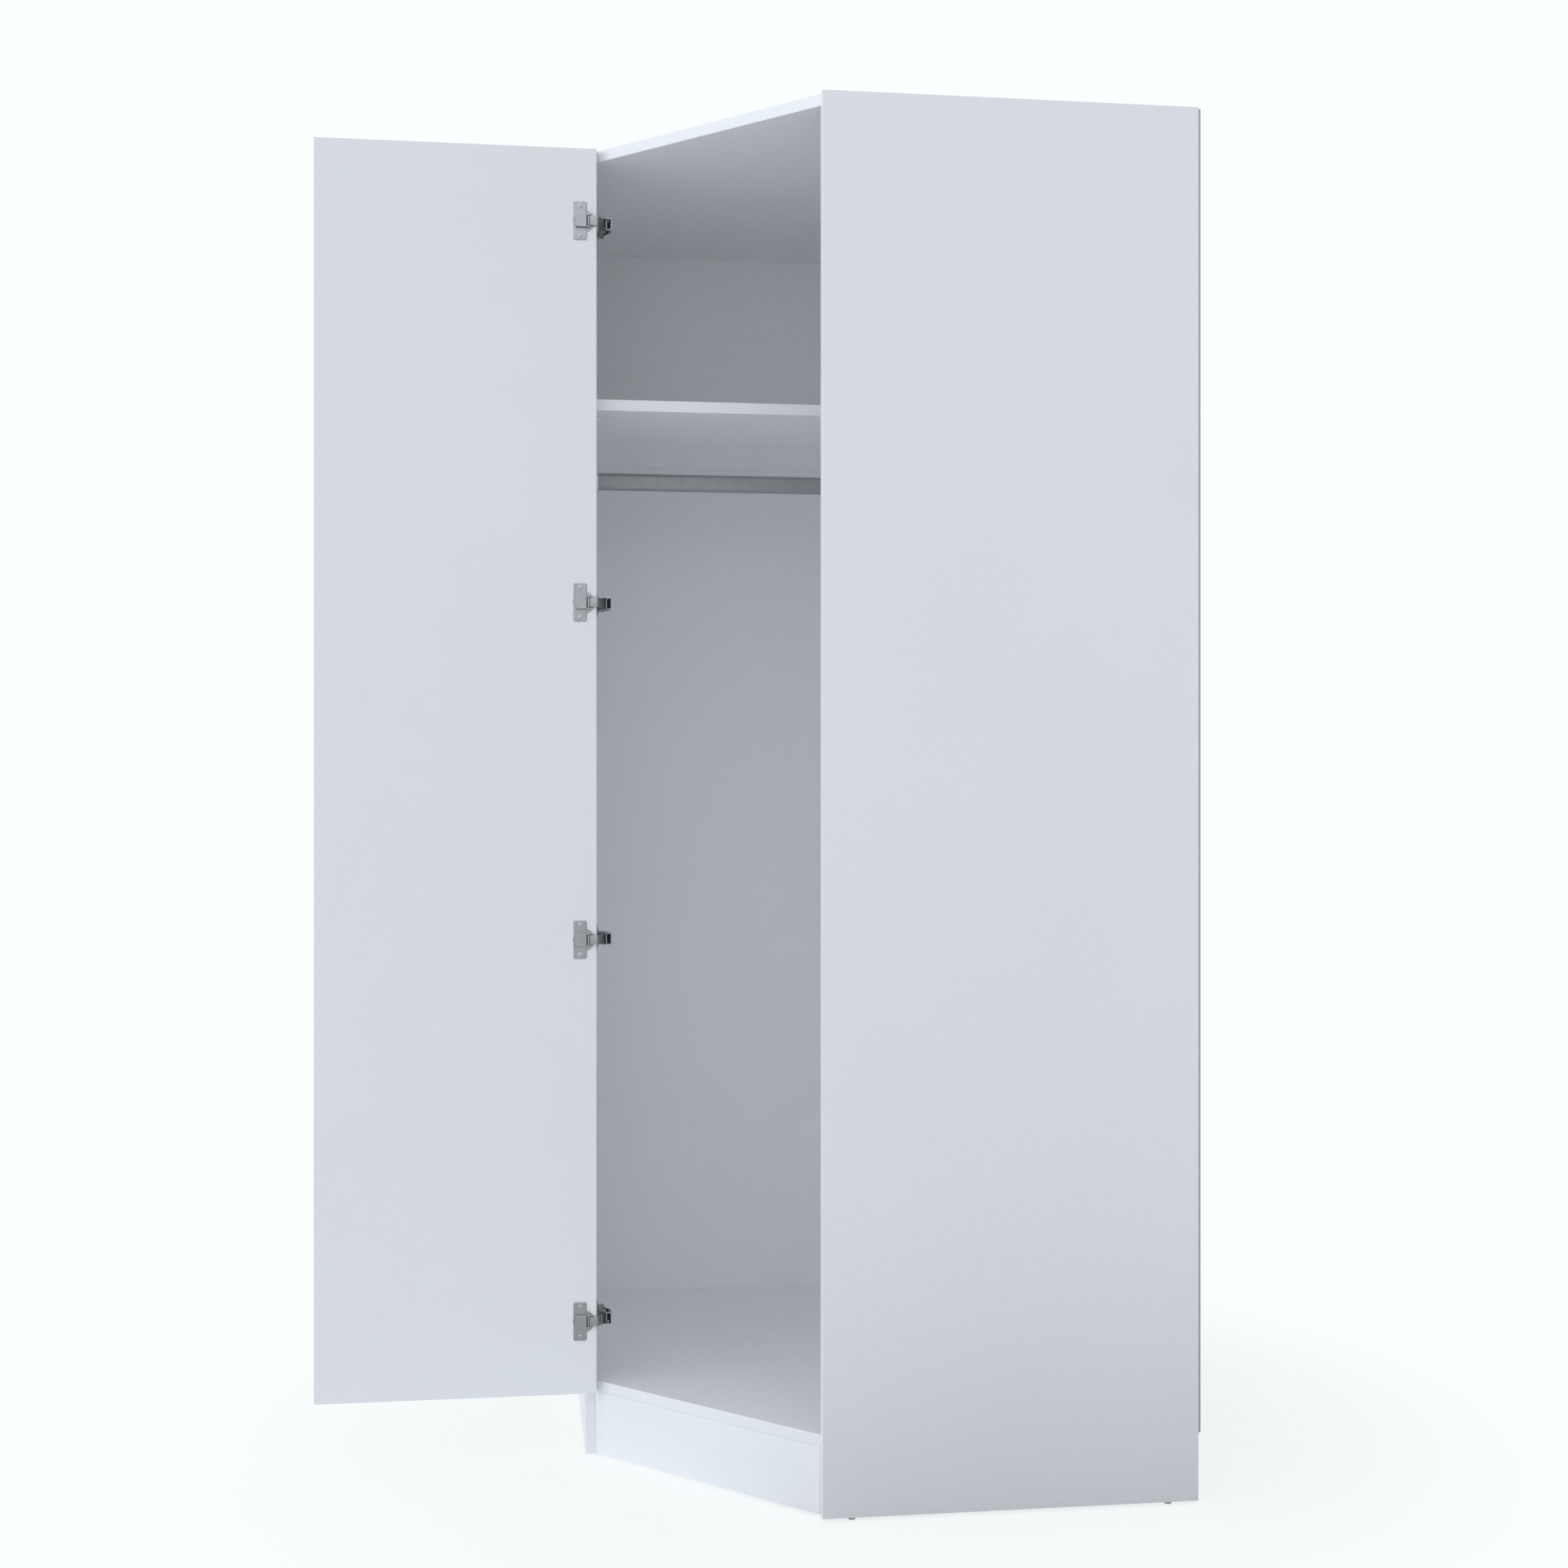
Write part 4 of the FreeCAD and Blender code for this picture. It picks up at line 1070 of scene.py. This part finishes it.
    def soften(self, node: str) -> None:
        """Rounds the edges of a pressed piece that keeps its solid.

        Args:
            node: the CAD node's name.
        """
        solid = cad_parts[node]
        weld = solid.modifiers.new("weld", "WELD")
        weld.merge_threshold = self.weld_reach * MM
        flat = solid.modifiers.new("flat_faces", "DECIMATE")
        flat.decimate_type = "DISSOLVE"
        flat.angle_limit = math.radians(self.flat_angle)
        bevel = solid.modifiers.new("pressed_edges", "BEVEL")
        bevel.width = self.soft_edge * MM
        bevel.segments = 2
        bevel.limit_method = "ANGLE"
        bevel.angle_limit = math.radians(self.soft_angle)
        bevel.harden_normals = False

    def build(self) -> None:
        """Builds cups, links and screws, and dresses the arms, plates and pins."""
        plan, finishes, slot = self.plan, self.finishes, Slot.NICKEL
        cup, link = self.cup(), self.link()
        on_door = np.array([[-1, 0, 0], [0, 0, 1], [0, -1, 0]], float)
        seat, line, half = self.plate_screw
        cups, plates, arms = [], [], []
        for number, height in enumerate(plan.hinge_heights, 1):
            edge = np.array([plan.door_edge, plan.door_inside, height])
            panel = plan.front(0, 0, height)
            node = f"hinge_cup_{number}"
            finishes.make(node + "_pressed", cup.placed(edge, on_door), slot, Body.DOOR, node)
            pivot = edge - [self.link_from_edge, self.link_rise, 0]
            node = f"hinge_link_{number}"
            finishes.make(node + "_strap", link.placed(pivot, np.eye(3)), slot, Body.LINKS, node)
            for side in (-1, 1):
                cups.append((edge - [self.screw_line, self.plate_thick, side * self.screw_half], (0, -1, 0)))
                plates.append((panel + [seat, line, side * half], (1, 0, 0)))
            arms.append((panel + [*self.arm_screw, 0], (1, 0, 0)))
            for node in (f"hinge_arm_{number}", f"mounting_plate_{number}"):
                finishes.dress(node, slot)
                self.soften(node)
        screws = Screws(finishes, plan)
        screws.make("cup_screws", cups, self.plate_thick + screws.grip, Body.DOOR)
        screws.make("plate_screws", plates, seat + screws.grip)
        screws.make("arm_screws", arms, self.arm_screw[0])
        for node in ("pivot_pins", "tail_pins"):
            finishes.dress(node, slot)


@dataclass(frozen=True)
class Rail(Assembly):
    """The oval hanging rail with its two moulded flanges, and the pins under the shelf."""

    wide: float = 15
    tall: float = 30
    wall: float = 1.2
    plate_wide: float = 26
    plate_tall: float = 60
    plate_rim: float = 1
    collar: float = 12
    collar_wall: float = 1.6
    collar_root: float = 0.5
    play: float = 0.55

    def flange(self) -> Surface:
        """A flange: an oval plate with a round rim and an oval collar round the rail's end.

        Returns:
            The flange in its own axes: across, up, and away from the board.
        """
        thick = self.plan.flange
        plate = slab(oval(self.plate_wide, self.plate_tall), rim(thick, self.plate_rim))
        wide, tall = self.wide + 2 * self.play, self.tall + 2 * self.play
        outside = oval(wide + 2 * self.collar_wall, tall + 2 * self.collar_wall)
        collar = sleeve(outside, oval(wide, tall), thick - self.collar_root, thick + self.collar)
        return joined([plate, collar])

    def build(self) -> None:
        """Builds the rail and its flanges and dresses the shelf pins."""
        plan, make = self.plan, self.finishes.make
        first, last = plan.inner_face, plan.upright_face
        along = np.array([[0, 1, 0], [0, 0, 1], [1, 0, 0]], float)
        inside = oval(self.wide - 2 * self.wall, self.tall - 2 * self.wall)
        tube = sleeve(oval(self.wide, self.tall), inside, first + plan.flange, last - plan.flange)
        tube = tube.placed((0, plan.rail_line, plan.rail_height), along)
        make("hanging_rail_tube", tube, Slot.RAIL, Body.CARCASS, "hanging_rail")
        for side, face, axes in (("left", first, along), ("right", last, along * [-1, 1, 1])):
            flange = self.flange().placed((face, plan.rail_line, plan.rail_height), axes)
            node = f"rail_flange_{side}"
            make(node + "_moulded", flange, Slot.WHITE, Body.CARCASS, node)
        self.finishes.dress("shelf_pins", Slot.WHITE)


@dataclass(frozen=True)
class Feet(Assembly):
    """Domed nail glides under the side panels and the turned leg in the room corner.

    Profiles are pairs of radius and height over the floor, for the leg's column and plate of radius and depth
    under the board.
    """

    glide_inset: float = 45
    glide_flat: float = 3.4
    glide_radius: float = 6
    glide_dome: float = 2.4
    glide_side: tuple[Pair, ...] = ((6, 4.7), (5.7, 5))
    nail: tuple[Pair, ...] = ((1.5, 5), (1.5, 18.5), (0.3, 20))
    leg_foot: tuple[Pair, ...] = ((0.5, 0), (21.5, 0), (22.5, 0.5), (23, 1.5), (23, 8.5), (22, 10), (17, 11))
    leg_ring: tuple[Pair, ...] = ((17, 14), (19, 15), (19, 22), (17.5, 23.5), (15, 24))
    leg_column: tuple[Pair, ...] = ((15, 10), (16, 6.5), (19, 4.2))
    leg_plate: tuple[Pair, ...] = ((31, 4), (32, 3), (32, 0.3), (31.7, 0), (0.5, 0))

    def glide(self) -> Surface:
        """A glide: a turned dome with a rim, and its nail.

        Returns:
            The glide in its own axes, standing on height 0.
        """
        pole = 0.4
        arc = np.linspace(0, np.pi / 2, 9)
        radii = self.glide_flat + (self.glide_radius - self.glide_flat) * np.sin(arc)
        dome = np.stack([radii, self.glide_dome * (1 - np.cos(arc))], axis=1)
        return turned(np.concatenate([[(pole, 0)], dome, self.glide_side, self.nail]), steps=40)

    def leg(self) -> Surface:
        """The leg on height 0: a turned profile with a foot, a grooved screw ring, a column and a flange."""
        top = [0, self.plan.bottom_under] + np.array(self.leg_column + self.leg_plate) * [1, -1]
        return turned(np.concatenate([self.leg_foot, self.leg_ring, top]), steps=56)

    def build(self) -> None:
        """Builds the glides and the leg."""
        plan = self.plan
        middle = (plan.outer_face + plan.inner_face) / 2
        ends = (plan.front_edge + self.glide_inset, plan.rear_face - self.glide_inset)
        spots = [(end, middle, 0) for end in ends] + [(middle, end, 0) for end in ends]
        glide = self.glide()
        feet = joined([glide.placed(spot, np.eye(3)) for spot in spots])
        self.finishes.make("glides_domed", feet, Slot.NICKEL, Body.CARCASS, "glides")
        leg = self.leg().placed((-plan.leg_inset, -plan.leg_inset, 0), np.eye(3))
        self.finishes.make("corner_leg_turned", leg, Slot.BLACK, Body.CARCASS, "corner_leg")


# Studio


@dataclass(frozen=True)
class SoftLamp:
    """A far, very wide lamp that lights everything evenly: where it stands, its strength and its width."""

    name: str
    stands: Point
    strength: float
    spread: float
    colour: Colour = LAMP_WHITE

    def build(self) -> None:
        """Hangs the lamp so that it shines from its side towards the middle."""
        data = bpy.data.lights.new(self.name, "SUN")
        data.energy = self.strength
        data.angle = math.radians(self.spread)
        data.color = self.colour
        across, back, up = self.stands
        tilt = math.atan2(math.hypot(across, back), up)
        linked(self.name, data).rotation_euler = (tilt, 0, math.atan2(across, -back))


@dataclass(frozen=True)
class Studio:
    """White floor and background, soft lamps, and the camera at the photograph's place."""

    white: Colour = (0.965, 1, 1)
    ambient: Colour = LAMP_WHITE
    ambient_strength: float = 0.25
    bounces: int = 24
    floor_side: float = 30
    floor_tone: float = 0.95
    floor_lamp: float = 0.14
    mat: Point = (-0.2, -1.1, 0)
    mat_span: Pair = (0.3, 0.75)
    mat_tone: float = 0.5
    middle: Point = (-0.45, -0.45, 0)
    shadow_span: Pair = (0.5, 1.3)
    shadow_share: float = 0.2
    camera_place: Point = (-1.0258, -3.8121, 1.0824)
    camera_turn: float = -7.7126
    lens: float = 46.01
    sensor: float = 36
    lamps: tuple[SoftLamp, ...] = (
        SoftLamp("left", (-1, 0, 0.1), 0.72, 60),
        SoftLamp("above", (-0.5, -0.5, 0.7), 1.82, 120),
        SoftLamp("behind", (0.8, 0.5, 0.3), 0.5, 80),
    )

    def world(self) -> None:
        """White where it is seen, and a plain soft light elsewhere."""
        world = bpy.data.worlds.new("studio")
        nodes = Nodes(world)
        mix = nodes.add("MixShader")
        nodes.links.new(nodes.seen(), mix.inputs["Fac"])
        lights = ((self.ambient, self.ambient_strength), (self.white, 1))
        for (colour, strength), socket in zip(lights, mix.inputs[1:]):
            background = nodes.add("Background", Color=(*colour, 1), Strength=strength)
            nodes.links.new(background.outputs["Background"], socket)
        nodes.links.new(mix.outputs["Shader"], nodes.add("OutputWorld").inputs["Surface"])
        bpy.context.scene.world = world

    def fade(self, nodes: Nodes, centre: Point, span: Pair, near: float, far: float) -> Socket:
        """A number that changes smoothly with the distance from a point of the floor.

        Args:
            nodes: the floor's nodes.
            centre: the point.
            span: the distances where the change begins and ends.
            near: the number close to the point.
            far: the number far from it.

        Returns:
            The number.
        """
        distance = nodes.add("VectorMath")
        distance.operation = "DISTANCE"
        distance.inputs[1].default_value = centre
        nodes.links.new(nodes.add("TexCoord").outputs["Object"], distance.inputs[0])
        return nodes.between(distance.outputs["Value"], near, far, span, Curve.SMOOTH)

    def floor(self) -> None:
        """A white floor that keeps a soft share of the wardrobe's shadow, and lights it a little from below.

        Where it is seen it glows white, mixed with a lit white near the wardrobe. The light that it sends up
        comes from a pale floor with a darker mat before the right panel.
        """
        half = self.floor_side / 2
        corners = [(-half, -half, 0), (half, -half, 0), (half, half, 0), (-half, half, 0)]
        mesh = bpy.data.meshes.new("floor")
        mesh.from_pydata(corners, [], [(0, 1, 2, 3)])
        linked("floor", mesh)
        material = bpy.data.materials.new("studio_floor")
        mesh.materials.append(material)
        nodes = Nodes(material)
        kinds = {"pale": "BsdfDiffuse", "lit": "BsdfDiffuse", "lamp": "Emission", "glow": "Emission",
                 "bounce": "AddShader", "shown": "MixShader", "both": "MixShader"}
        shaders = {name: nodes.add(kind) for name, kind in kinds.items()}
        for name, colour in (("lit", self.white), ("glow", self.white), ("lamp", self.ambient)):
            shaders[name].inputs["Color"].default_value = (*colour, 1)
        mat = (nodes, self.mat, self.mat_span)
        nodes.links.new(self.fade(*mat, self.mat_tone, self.floor_tone), shaders["pale"].inputs["Color"])
        nodes.links.new(self.fade(*mat, 0, self.floor_lamp), shaders["lamp"].inputs["Strength"])
        share = self.fade(nodes, self.middle, self.shadow_span, self.shadow_share, 0)
        nodes.links.new(share, shaders["shown"].inputs["Fac"])
        nodes.links.new(nodes.seen(), shaders["both"].inputs["Fac"])
        for result, parts in (("bounce", ("pale", "lamp")), ("shown", ("glow", "lit")),
                              ("both", ("bounce", "shown"))):
            for part, socket in zip(parts, shaders[result].inputs[-2:]):
                nodes.links.new(shaders[part].outputs[0], socket)
        nodes.links.new(shaders["both"].outputs["Shader"], nodes.add("OutputMaterial").inputs["Surface"])

    def camera(self) -> None:
        """The camera at the place and turn that were fitted to the photograph."""
        data = bpy.data.cameras.new("camera")
        data.sensor_width = self.sensor
        data.lens = self.lens
        camera = linked("camera", data)
        camera.location = self.camera_place
        camera.rotation_euler = (math.pi / 2, 0, math.radians(self.camera_turn))
        bpy.context.scene.camera = camera

    def build(self) -> None:
        """Sets up the whole studio."""
        scene = bpy.context.scene
        scene.view_settings.view_transform = "Standard"
        scene.cycles.max_bounces = self.bounces
        scene.cycles.diffuse_bounces = self.bounces
        self.world()
        self.floor()
        for lamp in self.lamps:
            lamp.build()
        self.camera()


def main() -> None:
    """Builds the wardrobe's looks in order, then the studio."""
    logging.basicConfig(level=logging.INFO, format="%(message)s")
    plan = Plan()
    finishes = Finishes()
    for assembly in (Boards, EdgeBands, Hinges, Rail, Screws, Feet):
        assembly(finishes, plan).build()
    Studio().build()


if __name__ == "__main__":
    main()
